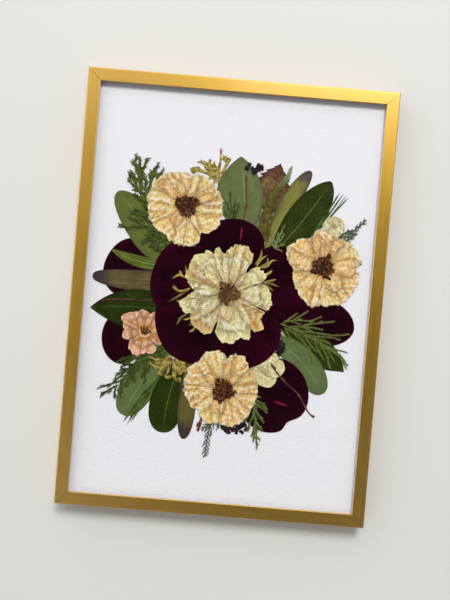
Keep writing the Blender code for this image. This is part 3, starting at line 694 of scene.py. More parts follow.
# every burgundy petal: base, heading, length, half angle of the fan, squareness, power, notch and where it
# is; its level; how much wine colour shows; a streak of magenta as turn, reach and length
velvetPetals = {
    "petal_far_left": dict(shape=((-42.0, 4.0), 156.2, 47.3, 52.0, 2.6, 0.56, 0.0, 0.0), level=0),
    "petal_low_left": dict(shape=((-58.0, -33.0), 180.0, 27.0, 80.0, 2.6, 0.35, 0.0, 0.0), level=0),
    "petal_far_right": dict(shape=((32.4, -3.4), -12.0, 59.2, 37.2, 1.75, 0.65, 0.0, 0.0), level=0),
    "petal_bottom_right": dict(shape=((10.0, -62.0), -6.0, 53.0, 71.0, 1.8, 0.60, 0.09, -22.0),
                               level=3, streak=(-0.11, 0.66, 0.12)),
    "petal_right": dict(shape=((2.0, 6.7), 5.0, 50.4, 54.0, 5.0, 0.30, 0.0, 0.0), level=4, wine=1.4),
    "petal_lower_left": dict(shape=((1.7, 5.2), 228.7, 60.8, 71.2, 1.5, 0.40, 0.0, 0.0), level=4),
    "petal_upper_left": dict(shape=((-1.4, 3.5), 163.7, 53.2, 52.5, 3.3, 0.51, 0.0, 0.0), level=5, wine=1.8),
    "petal_top": dict(shape=((5.2, 6.0), 100.4, 50.2, 54.4, 2.5, 0.50, 0.0, 0.0),
                      level=6, wine=0.6, streak=(-0.22, 0.80, 0.12)),
    "petal_lower_right": dict(shape=((-1.6, 3.1), -60.0, 54.8, 55.5, 2.4, 0.56, 0.0, 0.0),
                              level=6, wine=1.5),
}
velvet = {
    "dark": screenColour(20, 1, 8), "red": screenColour(60, 2, 28), "streak": screenColour(140, 30, 70),
    "sheenTint": (0.55, 0.08, 0.25, 1.0), "sheen": 0.05,
    "sheenRoughness": 0.4, "roughness": 0.7, "specular": 0.02,
    "wine": 0.62, "relief": 0.0002, "rows": 52, "columns": 64, "thick": 0.10,
}


def petalGrid(shape, rows, columns):
    # a fan: the reach at a turn a is length (1 - |a|^square)^power, less a notch; the rows run out from the
    # base
    base, axis, length, spread, square, power, notch, notchAt = shape
    turn = np.sin(np.linspace(-0.985, 0.985, columns) * math.pi / 2)[None, :]
    out = np.linspace(0.03, 1.0, rows)[:, None]
    reach = length * (1 - np.abs(turn) ** square) ** power
    reach = reach * (1 - notch * np.exp(-((turn * spread - notchAt) / 7.0) ** 2))
    heading = np.radians(axis + turn * spread)
    return base[0] + reach * out * np.cos(heading), base[1] + reach * out * np.sin(heading), out, turn


def velvetMaterial(name, petal, seed):
    # near black with a wine bloom: fine veins fan out from the base, and the velvet nap is a sheen
    material, tree, shader = newMaterial(name)
    mottle = useGroup(tree, dryMottle, PatchScale=38.0, FineScale=1500.0, Seed=float(seed))
    out, turn = mark(tree, "out"), mark(tree, "turn")
    fan = put(tree, "ShaderNodeCombineXYZ", {0: times(tree, turn, 26.0), 1: times(tree, out, 3.0)})
    lines = grain(tree, fan.outputs[0], 1.0, 4.0, 0.65)
    wine = times(tree, mottle["Patch"], step(tree, lines, 0.3, 0.75))
    wine = times(tree, wine, velvet["wine"] * petal.get("wine", 1.0))
    wine = plus(tree, wine, times(tree, step(tree, out, 0.82, 1.0), 0.2))
    colour = blend(tree, wine, velvet["dark"], velvet["red"])
    if "streak" in petal:
        turnAt, outAt, size = petal["streak"]
        beside = step(tree, apart(tree, turn, turnAt), 0.026, 0.004)
        spot = times(tree, beside, step(tree, apart(tree, out, outAt), size, size * 0.3))
        colour = blend(tree, times(tree, spot, 0.75), colour, velvet["streak"])
    feed(tree, shader, Base=colour, Roughness=velvet["roughness"], Sheen=velvet["sheen"],
         SheenTint=velvet["sheenTint"], SheenRoughness=velvet["sheenRoughness"], Specular=velvet["specular"])
    height = plus(tree, times(tree, lines, 0.8), times(tree, mottle["Fine"], 0.4))
    addRelief(tree, shader, height, velvet["relief"], 0.4)
    return material


def makeVelvetPetal(name, petal, seed):
    # faint pleats fan out from the base, and the rim waves and curls a little
    x, y, out, turn = petalGrid(petal["shape"], velvet["rows"], velvet["columns"])
    pleats = 0.05 * softNoise(turn * 30, out * 2, 2.2, seed) * np.sin(out * 3)
    wave = 0.06 * softNoise(turn * 12, out, 1.0, seed + 7) * smoothStep(out, 0.8, 1.0)
    relief = pleats + (0.10 * cloud(x, y, 11.0, seed + 3) + wave) + 0.04 * smoothStep(out, 0.93, 1.0)
    z = restOnPile(x, y) + relief + velvet["thick"]
    coverPile(pile, x, y, z)
    part = sheetPart(x, y, z, velvet["thick"], out=out, turn=turn)
    makePiece(name + "_pressed", [part],
              [velvetMaterial(name + "Skin", petal, seed)], name)


def crumpledMaterial(name, look):
    # cream with painted shade in its creases and beside higher petals, painted highlights on its crests, a
    # golden heart, a bright rim, and thin crease lines and rays that run out from the heart, in the painted
    # crease shade; tone leans it to its second colour. The broad bump is the relief of the folds, the fine
    # one creases and rays
    material, tree, shader = newMaterial(name)
    mottle = useGroup(tree, dryMottle, PatchScale=130.0, FineScale=1300.0, Seed=float(len(name)) * 1.7)
    creases = useGroup(tree, creaseLines, Scale=620.0, Width=0.07)
    out = mark(tree, "out")
    patch = times(tree, minus(tree, mottle["Patch"], 0.5), look["patch"])
    lean = plus(tree, mark(tree, "tone"), patch, clamp=True)
    colour = blend(tree, lean, screenColour(*look["petal"]), screenColour(*look["petal2"]))
    # painted highlight on the crests, then painted shade in the hollows
    colour = tint(tree, colour, mark(tree, "crest"), look["crestAmount"], look["crest"])
    colour = tint(tree, colour, mark(tree, "crease"), look["creaseAmount"], look["crease"])
    colour = tint(tree, colour, step(tree, out, 0.90, 1.0), look["rimAmount"], look["rim"])
    # painted shade beside the edges of higher petals
    colour = tint(tree, colour, mark(tree, "under"), look["underAmount"], look["under"])
    colour = tint(tree, colour, step(tree, out, look["heartSize"], 0.12), look["heartAmount"], look["heart"])
    colour = tint(tree, colour, mark(tree, "stain"), 0.85, look["stain"])
    fan = put(tree, "ShaderNodeCombineXYZ", {0: mark(tree, "fan"), 1: times(tree, out, look["rayLength"])})
    rays = apart(tree, grain(tree, fan.outputs[0], 0.5, 3.0, 0.6, 0.6), 0.5)
    # crease lines and rays darken in the crease colour: painted shade along the folds
    lines = maths(tree, "MAXIMUM", times(tree, creases["Lines"], 0.6), step(tree, rays, 0.06, 0.0))
    colour = tint(tree, colour, lines, look["lineAmount"], look["crease"])
    fine = step(tree, mottle["Fine"], 0.3, 0.7, 0.74, 1.24)
    fine = put(tree, "ShaderNodeCombineXYZ", {0: fine, 1: fine, 2: fine}).outputs[0]
    feed(tree, shader, Base=blend(tree, 1.0, colour, fine, "MULTIPLY"), Roughness=0.72, Specular=0.12)
    broad = addRelief(tree, shader, mark(tree, "relief"), look["foldBump"] * mm)
    addRelief(tree, shader, plus(tree, creases["Ridges"], rays), look["crumple"] * mm, over=broad)
    return material


def seedMaterial(name, dark, light, amount):
    # stamens and buds: dark, with light flecks by the amount
    material, tree, shader = newMaterial(name)
    mottle = useGroup(tree, dryMottle, PatchScale=520.0, FineScale=2200.0, Seed=3.0)
    tone = plus(tree, times(tree, mottle["Patch"], amount), times(tree, mark(tree, "tone"), 0.6), clamp=True)
    colour = blend(tree, tone, screenColour(*dark), screenColour(*light))
    feed(tree, shader, Base=colour, Roughness=0.6, Specular=0.1)
    addRelief(tree, shader, mottle["Fine"], 0.0002, 0.4)
    return material


# crease is painted shade in the hollows, crest a painted highlight on the crests, under painted shade by
# higher petals
roseLook = dict(
    crumple=1.3, petal=(255, 224, 142), petal2=(255, 204, 136),
    patch=0.5, crest=(255, 251, 220), crestAmount=0.9,
    crease=(172, 98, 26), creaseAmount=0.32, rim=(255, 246, 196),
    rimAmount=0.7, heart=(208, 126, 34), heartSize=0.40,
    heartAmount=0.65, stain=(204, 128, 66), under=(104, 50, 8),
    underAmount=0.42, foldBump=0.5, lineAmount=0.36, rayLength=9.0)
paleLook = dict(
    crumple=1.4, petal=(255, 244, 182), petal2=(254, 216, 142),
    patch=0.5, crest=(255, 253, 228), crestAmount=0.85,
    crease=(128, 92, 36), creaseAmount=0.35, rim=(255, 246, 172),
    rimAmount=0.6, heart=(186, 142, 88), heartSize=0.42,
    heartAmount=0.5, stain=(212, 138, 62), under=(78, 50, 16),
    underAmount=0.42, foldBump=0.6, lineAmount=0.34, rayLength=6.0)
pinkLook = dict(
    crumple=0.9, petal=(240, 190, 158), petal2=(230, 172, 130),
    patch=0.4, crest=(252, 216, 190), crestAmount=0.6,
    crease=(150, 84, 42), creaseAmount=0.4, rim=(240, 184, 168),
    rimAmount=0.6, heart=(198, 134, 52), heartSize=0.80,
    heartAmount=0.9, stain=(190, 112, 40), under=(110, 60, 36),
    underAmount=0.55, foldBump=0.8, lineAmount=0.25, rayLength=4.0)

# every flower: rim is its outline as (angle, reach); its petals, from the back to the front, are heading,
# half spread, share of the rim's reach, where it starts (mm), tone, crumple and stain. room is how thick it
# may lie.
roseShape = dict(
    room=2.4, slot="cream_petal", look=roseLook, grid=(45, 43),
    wrinkle=2.2, pleatAngle=7.0, pleat=0.3, depth=1.3,
    curl=0.45, size=26.0, corner=0.05, base=0.94, bowl=6.4, dome=0.8)
flowers = {
    "small_pink_flower": dict(
        centre=(-55.0, -27.9), level=3, room=0.9, slot="pink_petal",
        look=pinkLook, grid=(30, 34), wrinkle=3.4, seed=210,
        pleatAngle=5.0, pleat=0.6, depth=0.3, curl=0.12,
        size=16.0, corner=0.16, base=0.5, bowl=3.0, dome=0.3,
        rim=(
            (149, 19.7), (120, 15.1), (102, 16.0), (79, 13.4), (57, 18.6), (27, 11.2), (-22, 15.7),
            (-44, 14.2), (-69, 16.1), (-82, 14.0), (-104, 17.8), (-130, 16.2), (-143, 14.0), (-168, 16.6),
            (178, 14.7), (162, 18.2)),
        petals=(
            (97, 22, 1.0, 1.0, 0.5, 0.6, 0.0), (186.5, 25, 1.0, 1.0, 0.3, 0.7, 0.1),
            (-117, 29, 1.0, 1.0, 0.4, 0.6, 0.0), (50, 34, 1.0, 1.0, 0.5, 0.8, 0.1),
            (-71, 25, 1.0, 1.0, 0.1, 0.6, 0.0), (138, 26, 1.0, 1.0, 0.4, 1.0, 0.1),
            (-8, 36, 1.0, 1.0, 0.6, 0.6, 0.0))),
    "small_cream_bloom": dict(
        centre=(70.4, 56.0), level=4, room=1.2, slot="cream_petal",
        look=dict(paleLook, petal=(255, 242, 184), underAmount=0.2, heartAmount=0.2),
        grid=(22, 30), wrinkle=1.3, seed=260, pleatAngle=9.0, pleat=0.4, depth=0.7,
        curl=0.25, size=8.0, corner=0.05, base=0.8, bowl=1.0, dome=0.3,
        rim=((-163, 8.3), (130, 7.1), (95, 7.0), (56, 7.4),
             (22, 7.6), (-14, 7.3), (-49, 7.9), (-90, 8.0), (-125, 8.0)),
        petals=(
            (-100, 60, 1.0, 0.4, 0.2, 1.0, 0.0), (20, 60, 1.0, 0.4, 0.1, 1.0, 0.0),
            (140, 62, 1.0, 0.4, 0.3, 1.0, 0.0), (70, 45, 0.7, 0.4, 0.1, 1.0, 0.0))),
    "rose_right": dict(
        roseShape, centre=(65.3, 27.5), level=5, seed=330,
        rim=(
            (154, 27.8), (167, 26.7), (-179, 24.9), (-169, 21.1), (-144, 23.4), (-119, 26.7), (-101, 29.4),
            (-88, 26.1), (-80, 28.4), (-71, 26.9), (-65, 29.1), (-39, 27.6), (-9, 26.5), (1, 24.8),
            (12, 26.9), (34, 26.1), (52, 24.1), (73, 22.7), (91, 25.6), (106, 26.0), (115, 23.6),
            (137, 26.0)),
        petals=(
            (38, 32, 1.0, 3, 0.0, 1.0, 0.0), (91, 26, 1.0, 3, 0.6, 1.0, 0.1),
            (-150, 24, 1.0, 3, 0.1, 0.6, 0.0), (-73, 26, 1.0, 3, 0.2, 1.0, 0.0),
            (-30, 28, 1.0, 3, 0.6, 1.0, 0.0), (152, 24, 1.0, 3, 0.5, 1.0, 0.0),
            (176, 20, 0.93, 4, 0.7, 0.9, 0.0), (-118, 22, 1.0, 4, 0.5, 0.6, 0.15),
            (-52, 24, 0.66, 5, 0.5, 0.9, 0.1), (2, 19, 0.84, 5, 0.8, 0.7, 0.0),
            (62, 9, 0.92, 9, 0.9, 0.6, 0.0), (112, 9, 0.86, 9, 0.9, 0.6, 0.0),
            (88, 15, 0.62, 4, 0.3, 0.7, 0.35)),
        stamens=dict(count=260, size=8.2, thick=1.0, inner=0.0)),
    "rose_upper_left": dict(
        roseShape, centre=(-33.1, 62.1), level=7, seed=420,
        rim=(
            (101, 23.0), (116, 25.0), (129, 27.7), (149, 28.5), (158, 27.3), (171, 28.0), (-179, 26.7),
            (-165, 27.6), (-142, 27.5), (-132, 26.3), (-116, 27.2), (-121, 24.0), (-107, 27.0), (-88, 28.7),
            (-67, 27.2), (-57, 22.0), (-47, 24.7), (-32, 25.8), (-1, 25.5), (31, 24.0), (45, 23.1),
            (66, 24.0), (85, 21.5)),
        petals=(
            (-82, 20, 1.0, 3, 0.1, 1.0, 0.0), (104, 29, 1.0, 3, 0.6, 1.0, 0.0),
            (56, 27, 1.0, 3, 0.2, 1.0, 0.0), (146, 25, 1.0, 3, 0.2, 1.0, 0.0),
            (-120, 27, 1.0, 3, 0.4, 1.0, 0.0), (17, 24, 1.0, 4, 0.5, 1.0, 0.0),
            (185, 25, 1.0, 4, 0.2, 1.0, 0.0), (-122, 17, 0.60, 5, 0.9, 0.7, 0.1),
            (-31, 29, 1.0, 4, 0.1, 0.8, 0.0), (110, 10, 0.70, 6, 0.7, 0.7, 0.1),
            (144, 8, 0.86, 8, 1.0, 0.5, 0.0), (25, 10, 0.76, 6, 0.6, 0.7, 0.1)),
        stamens=dict(count=260, size=8.2, thick=1.0, inner=0.0)),
    "rose_bottom": dict(
        roseShape, centre=(2.7, -64.2), level=7, seed=510,
        rim=(
            (99, 28.0), (117, 29.2), (133, 26.8), (152, 28.6), (-175, 27.9), (-161, 26.0), (-147, 25.1),
            (-137, 22.2), (-125, 24.5), (-113, 25.8), (-98, 24.4), (-70, 26.0), (-40, 25.1), (-24, 23.0),
            (4, 24.6), (42, 24.5), (63, 27.6), (83, 26.4), (88, 22.3)),
        petals=(
            (110, 27, 1.0, 3, 0.0, 1.0, 0.0), (152, 25, 1.0, 3, 0.5, 1.0, 0.0),
            (-160, 23, 1.0, 3, 0.6, 1.0, 0.0), (-120, 24, 1.0, 3, 0.0, 0.6, 0.0),
            (-17, 25, 1.0, 3, 0.5, 1.0, 0.0), (23, 24, 1.0, 4, 0.4, 1.0, 0.3),
            (66, 23, 1.0, 4, 0.2, 0.8, 0.1), (-108, 15, 0.66, 5, 0.7, 0.6, 0.1),
            (-63, 27, 1.0, 8, 0.6, 0.9, 0.0), (142, 16, 0.55, 5, 0.9, 0.5, 0.0),
            (84, 8, 0.78, 9, 1.0, 0.4, 0.0), (50, 14, 0.52, 5, 0.4, 0.7, 0.5)),
        stamens=dict(count=270, size=8.6, thick=1.0, inner=0.0)),
    "centre_flower": dict(
        centre=(0.8, 3.9), level=7, room=2.2, slot="cream_petal",
        look=paleLook, grid=(51, 34), wrinkle=2.4, seed=610,
        pleatAngle=3.4, pleat=0.6, depth=1.0, curl=0.4,
        size=33.0, corner=0.05, base=0.74, bowl=7.0, dome=0.35,
        rim=(
            (149, 33.4), (137, 33.9), (119, 33.1), (115, 29.6), (107, 32.0), (100, 27.4), (88, 33.9),
            (79, 35.0), (67, 33.3), (59, 30.1), (51, 24.0), (43, 28.3), (27, 28.6), (21, 25.1), (5, 29.3),
            (-8, 30.7), (-22, 29.6), (-34, 28.7), (-40, 33.9), (-52, 33.4), (-53, 30.1), (-62, 35.3),
            (-75, 33.1), (-88, 36.1), (-98, 32.8), (-105, 29.7), (-116, 34.0), (-128, 33.9), (-142, 31.6),
            (-147, 29.4), (-152, 34.3), (-166, 35.0), (-173, 27.6), (-179, 24.2), (165, 31.1), (156, 33.5)),
        petals=(
            (89, 14, 1.0, 3, 0.1, 1.0, 0.2), (133, 19, 1.0, 3, 0.1, 1.0, 0.1),
            (161, 17, 1.0, 3, 0.3, 1.0, 0.5), (-158, 18, 1.0, 3, 0.0, 0.9, 0.0),
            (-127, 19, 1.0, 3, 0.0, 0.9, 0.6), (-78, 27, 1.0, 3, 0.0, 0.9, 0.1),
            (-1, 20, 1.0, 3, 0.1, 1.0, 0.2), (180, 12, 0.98, 4, 0.2, 0.8, 0.0),
            (-38, 15, 1.0, 4, 0.8, 1.0, 0.7), (70, 15, 1.0, 4, 0.6, 0.8, 0.2),
            (38, 14, 1.0, 4, 0.2, 0.8, 0.1), (107, 9, 1.0, 4, 0.3, 0.5, 0.0),
            (137, 13, 0.68, 4, 0.4, 0.5, 0.2), (-143, 17, 0.72, 5, 0.2, 0.9, 0.1),
            (-91, 22, 0.53, 5, 0.6, 0.6, 0.0)),
        stamens=dict(count=240, size=8.2, thick=0.8, inner=0.5)),
}


def rimReach(rim, angle):
    # the measured outline of the flower, read at any angle
    order = sorted((a % 360.0, r) for a, r in rim)
    return np.interp(np.mod(angle, 360.0), [a for a, r in order], [r for a, r in order], period=360.0)


# direction, length, height
creaseWaves = ((8, 2.4, 1.0), (-52, 1.7, 0.8), (63, 1.1, 0.5), (-24, 0.75, 0.22))


def creasedSheet(p, q, size, seed):
    # flat facets between sharp creases: triangle waves |2 (phase mod 1) - 1| in four directions, each bent
    # by noise and fading in and out
    total = 0.0
    for number, (way, share, height) in enumerate(creaseWaves):
        length = size * share
        phase = (p * math.cos(math.radians(way)) + q * math.sin(math.radians(way))) / length
        phase = phase + 0.75 * cloud(p, q, length * 1.9, seed + number)
        fade = 0.25 + 0.75 * smoothStep(softNoise(p, q, length * 1.6, seed + 20 + number), -0.5, 0.5)
        total = total + height * fade * np.abs(2 * np.mod(phase, 1.0) - 1)
    return total / 2.2                           # about the most that the four waves add up to


def petalSurface(flower, petal, seed):
    # rows run out from the heart and columns fan across, to the measured rim; its edge is ragged and curls
    # up. The relief is radial pleats, strongest at the heart, and creased facets, strongest towards the rim
    heading, spread, share, start, tone, crumple, stain = petal
    rows, columns = flower["grid"]
    u = np.linspace(0.0, 1.0, rows)[:, None]
    v = np.linspace(-1.0, 1.0, columns)[None, :]
    neck = 1.25 - 0.25 * smoothStep(u, 0.1, 0.75)
    angle = heading + spread * v * neck + 3.0 * softNoise(v * 2, u * 3, 1.0, seed)
    reach = rimReach(flower["rim"], angle) * share
    corner = 1 - flower["corner"] * np.abs(v) ** 6 - (1 - share) * 0.6 * np.abs(v) ** 3
    edge = v * spread * flower["size"] / 57.0    # 57 degrees in a radian: the way along the rim in mm
    ragged = 1 + 0.036 * softNoise(edge, edge * 0, 2.4,
                                   seed + 1) + 0.028 * softNoise(edge, edge * 0, 1.0, seed + 2)
    radius = start + (reach * corner * ragged - start) * u
    fan = edge + heading * 3.1 + 0 * u
    x = flower["centre"][0] + radius * np.cos(np.radians(angle))
    y = flower["centre"][1] + radius * np.sin(np.radians(angle))
    p, q = radius * np.sin(np.radians(angle - heading)), radius * np.cos(np.radians(angle - heading))
    facets = creasedSheet(p, q, flower["wrinkle"], seed + 30)
    phase = v * spread / flower["pleatAngle"] + 0.5 * cloud(p, q, 5.0, seed + 60)
    phase = phase + 0.5 * softNoise(q, q * 0, 9.0, seed + 61)
    pleats = np.abs(2 * np.mod(phase, 1.0) - 1) * (0.5 + 0.5 * softNoise(p * 2, q * 0.4, 3.0, seed + 62))
    facets = crumple * (0.25 + 0.75 * smoothStep(u, 0.1, 0.6)) * facets
    relief = facets + flower["pleat"] * (1.1 - 0.75 * u) * pleats
    dome = flower["dome"] * (1 - v ** 4) * smoothStep(u, 0.05, 0.45) * (1 - 0.5 * smoothStep(u, 0.65, 1.0))
    relief = relief * flower["depth"] + dome
    curl = smoothStep(u, 0.91, 0.99) * (0.6 + 0.4 * softNoise(edge, edge * 0, 2.0, seed + 8))
    side = smoothStep(np.abs(v), 0.88, 0.99) * (0.5 + 0.5 * softNoise(u * 9, v, 1.5, seed + 9))
    lift = flower["curl"] * (curl + 0.8 * side) + 0.15 * (1 + cloud(x, y, 9.0, seed + 10))
    patch = stain * smoothStep(cloud(x, y, 6.0, seed + 11), -0.1 - 0.5 * stain, 0.4)
    rise = relief + lift
    return x, y, rise, dict(out=radius / rimReach(flower["rim"], angle),
                            tone=tone, stain=patch, relief=rise, fan=fan)


def hollowsAndCrests(z, depth):
    # how far each point lies under or over the average of its surroundings on the grid, as two marks from 0
    # to 1, used to paint shade into the hollows and highlights onto the crests
    padded = np.pad(z, 4, mode="edge")
    rows, columns = z.shape
    steps = range(0, 9, 2)
    around = sum(padded[i:i + rows, j:j + columns] for i in steps for j in steps) / len(steps) ** 2
    return np.clip((around - z) / depth, 0, 1), np.clip((z - around) / depth, 0, 1)


def stackPetals(name, flower, seed):
    # petals are stacked on the flower's own pile, which is then pressed to the room under the glass. under
    # marks painted shade on what lies low beside a higher petal's edge
    cx, cy = flower["centre"]
    largest = max(point[1] for point in flower["rim"]) + 3.0
    own = makePile((cx - largest, cy - largest), (cx + largest, cy + largest), 0.4, 0.0)
    laid = []
    hidden = tuple((turn, 55, flower["base"], 1.0, 0.5, 0.5, 0.0) for turn in (45, 135, 225, 315))
    for number, petal in enumerate(hidden + flower["petals"]):
        x, y, rise, marks = petalSurface(flower, petal, seed + 70 * number)
        height = readPile(own, x, y, 2) + 0.08 + rise
        coverPile(own, x, y, height)
        laid.append((x, y, height, marks))
    deep = 0.5 + 0.38 * flower["depth"]
    base = [restOnPile(x, y, 4) for x, y, height, marks in laid]
    tallest = np.percentile(np.concatenate([height.ravel() for x, y, height, marks in laid]), 99.5)
    ceiling = glassLow - glassGap - (0.16 if "stamens" in flower else 0.0)
    room = min(flower["room"], ceiling - np.percentile(np.concatenate([b.ravel() for b in base]), 99))
    parts = []
    for (x, y, height, marks), low in zip(laid, base):
        bowl = 1 - smoothStep(np.hypot(x - cx, y - cy), flower["bowl"], flower["bowl"] * 1.8)
        z = np.minimum(low + height * min(room / tallest, 1.0), ceiling - 0.5 * bowl)
        # painted shade in the hollows and painted highlights on the crests
        marks["crease"], marks["crest"] = hollowsAndCrests(height, flower["depth"] * 0.25)
        # painted shade: darker where a higher petal's edge stands close above
        near, far = (readPile(own, x, y, reach) - height for reach in (1, 4))
        beside = smoothStep(near, 0.2 * deep, 0.8 * deep)
        marks["under"] = (beside + smoothStep(far, 0.5 * deep, 1.6 * deep)) / 2
        parts.append(sheetPart(x, y, z, 0.045, 0, **marks))
        coverPile(pile, x, y, z)
    print(name, "laid with a room of", round(float(room), 2), "mm for", round(float(tallest), 2))
    return parts


def stamenParts(flower, skin, seed):
    # a ragged mound of short fat grains that point outwards, and the disc under them; inner leaves a bare
    # middle
    facts = flower["stamens"]
    random = np.random.default_rng(seed)
    count, size, thick = facts["count"], facts["size"], facts["thick"]
    turn = random.uniform(0, 2 * math.pi, count)
    ragged = 0.90 + 0.13 * np.sin(3 * turn + seed) + 0.10 * np.sin(5 * turn + 2 * seed)
    ragged = ragged + 0.07 * np.sin(8 * turn + seed)
    reach = size * ragged * np.sqrt(random.uniform(facts["inner"] ** 2, 1.0, count))
    t = np.linspace(0, 1, 6)[None, :]
    way = turn + random.uniform(-0.7, 0.7, count)
    long = thick * (random.uniform(1.3, 2.6, count) + 2.2 * (random.uniform(0, 1, count) > 0.8))[:, None]
    x = flower["centre"][0] + (reach * np.cos(turn))[:, None] + long * (t - 0.6) * np.cos(way)[:, None]
    y = flower["centre"][1] + (reach * np.sin(turn))[:, None] + long * (t - 0.6) * np.sin(way)[:, None]
    low = readPile(pile, x, y, 1) + 0.04
    z = underGlass(low + random.uniform(0.05, 0.45, count)[:, None], 0.10, thick * 0.17)
    width = thick * np.array([0.35, 0.75, 1.0, 1.0, 0.8, 0.35]) * random.uniform(0.6, 1.1, count)[:, None]
    tone = np.clip(random.uniform(-2.0, 0.9, count)[:, None] + 0.2 * t, 0, 1)
    threads = tubePart(np.stack([x, y, z], -1), width, width * 0.34, 6, skin, tone=tone)
    # the disc under them: a low mound, rows out from the middle
    out = np.linspace(0.02, 1.0, 12)[:, None]
    angle = np.linspace(0, 2 * math.pi, 37)[None, :]
    wave = softNoise(np.cos(angle) * 3, np.sin(angle) * 3 + out * 0, 1.0, seed + 1)
    discSize = size * 0.72 * (1 + 0.16 * wave)
    dx = flower["centre"][0] + discSize * out * np.cos(angle)
    dy = flower["centre"][1] + discSize * out * np.sin(angle)
    lump = 0.12 * wrinkles(dx, dy, 1.1, seed + 2)
    dz = underGlass(readPile(pile, dx, dy, 1) + 0.02 + lump, 0.2)
    return [threads, discPart(dx, dy, dz, skin, seed)]


def discPart(x, y, z, skin, seed):
    # a round patch closed on itself: its last column is its first, so that column is dropped and wrapped
    # round
    x, y, z = x[:, :-1], y[:, :-1], z[:, :-1]
    rows, columns = x.shape
    count = rows * columns
    index = np.arange(count).reshape(rows, columns)
    after = np.roll(index, -1, 1)
    top = np.stack([index[:-1], index[1:], after[1:], after[:-1]], -1).reshape(-1, 4)
    rim = np.stack([index[-1], index[-1] + count, after[-1] + count, after[-1]], -1)
    hub = index[0][None, :]
    points = np.stack([x, y, z], -1).reshape(-1, 3)
    points = np.vstack([points, points - [0, 0, 0.06]])
    faces = [np.vstack([top, top[:, ::-1] + count, rim]), np.vstack([hub, hub[:, ::-1] + count])]
    tone = 0.6 * np.clip(softNoise(x, y, 0.9, seed + 4), 0, 1).ravel()
    return {"points": points, "faces": faces, "marks": {"tone": np.tile(tone, 2)}, "skin": skin}


def sprigMaterial(name, dark, light, tip, gloss=0.6):
    # mottled by 0.3 and lightened by 0.7 of the scale mark, which is 1 where a scale stands out: painted
    # highlights on the scales and painted shade between them; the tips tinted
    material, tree, shader = newMaterial(name)
    mottle = useGroup(tree, dryMottle, PatchScale=260.0, FineScale=1500.0, Seed=float(len(name)))
    # the scale mark is painted light: pale where scales stand out, dark between them
    tone = plus(tree, times(tree, mottle["Patch"], 0.3), times(tree, mark(tree, "scale"), 0.7))
    colour = blend(tree, tone, screenColour(*dark), screenColour(*light))
    colour = blend(tree, step(tree, mark(tree, "along"), 0.6, 1.0), colour, screenColour(*tip))
    feed(tree, shader, Base=colour, Roughness=gloss, Specular=0.1)
    addRelief(tree, shader, mottle["Fine"], 0.0003, 0.4)
    return material


def curve(points, samples):
    # a smooth line through a few points: cubic steps between them with each slope set by its neighbours
    points = np.asarray(points, float)
    if len(points) == 2:
        return points[0] + np.linspace(0, 1, samples)[:, None] * (points[1] - points[0])
    lengths = np.hypot(*np.diff(points, axis=0).T)
    marks = np.concatenate([[0.0], np.cumsum(lengths)]) / lengths.sum()
    slope = np.gradient(points, marks, axis=0)
    s = np.linspace(0, 1, samples)
    slot = np.clip(np.searchsorted(marks, s, side="right") - 1, 0, len(points) - 2)
    span = (marks[slot + 1] - marks[slot])[:, None]
    t = (s - marks[slot])[:, None] / span
    return ((2 * t ** 3 - 3 * t ** 2 + 1) * points[slot] + (t ** 3 - 2 * t ** 2 + t) * span * slope[slot]
            + (-2 * t ** 3 + 3 * t ** 2) * points[slot + 1] + (t ** 3 - t ** 2) * span * slope[slot + 1])


def sprigLines(sprig, seed):
    # the strands, then short twigs that leave each strand on alternate sides and lean forwards
    random = np.random.default_rng(seed)
    strands = [curve(strand, 64) for strand in sprig["strands"]]
    twigs = []
    for line in strands:
        count = int(np.hypot(*np.diff(line, axis=0).T).sum() / sprig["spacing"])
        for number in range(1, count):
            spot = int(number / count * 62)
            ahead = (line[spot + 1] - line[spot]) / np.hypot(*(line[spot + 1] - line[spot]))
            lean = math.radians(sprig["lean"] + random.uniform(-6, 6)) * (1 if number % 2 else -1)
            way = np.array([ahead[0] * math.cos(lean) - ahead[1] * math.sin(lean),
                            ahead[0] * math.sin(lean) + ahead[1] * math.cos(lean)])
            size = sprig["twig"] * (1.15 - 0.5 * number / count) * random.uniform(0.7, 1.2)
            root = line[spot]
            twigs.append(curve([root, root + way * size * 0.55, root + (way + ahead * 0.2) * size], 18))
    return strands, twigs


def scaleLeaves(lines, size, seed):
    # short pointed scales on alternate sides of each line, leaning forwards, with painted shade at the root
    # and a painted highlight at the tip
    random = np.random.default_rng(seed)
    spots, ways = [], []
    for line in lines:
        far = np.concatenate([[0.0], np.cumsum(np.hypot(*np.diff(line, axis=0).T))])
        at = np.arange(size * 0.4, far[-1], size * 0.55)
        spots.append(np.stack([np.interp(at, far, line[:, 0]), np.interp(at, far, line[:, 1])], 1))
        ahead = np.stack([np.interp(at, far, np.gradient(line[:, 0])),
                          np.interp(at, far, np.gradient(line[:, 1]))], 1)
        side = np.where(np.arange(len(at)) % 2, 1, -1)
        turn = np.arctan2(ahead[:, 1], ahead[:, 0]) + side * random.uniform(0.45, 0.75, len(at))
        ways.append(np.stack([np.cos(turn), np.sin(turn)],
                             1) * size * random.uniform(0.8, 1.15, (len(at), 1)))
    spots, ways = np.concatenate(spots), np.concatenate(ways)
    t = np.array([0.0, 0.35, 0.7, 1.0])[None, :, None]
    paths = np.concatenate([spots[:, None] + ways[:, None] * t, np.zeros((len(spots), 4, 1))], -1)
    paths[..., 2] = underGlass(readPile(pile, paths[..., 0], paths[..., 1], 1) + 0.02, 0.2)
    wide = size * 0.55 * np.array([0.6, 1.0, 0.8, 0.15])[None, :]
    # scale runs from painted shade at the root to a painted highlight at the tip
    return tubePart(paths, wide, 0.26, 5, 0, scale=np.array([0.1, 0.45, 0.85, 1.0])[None, :], along=0.2)


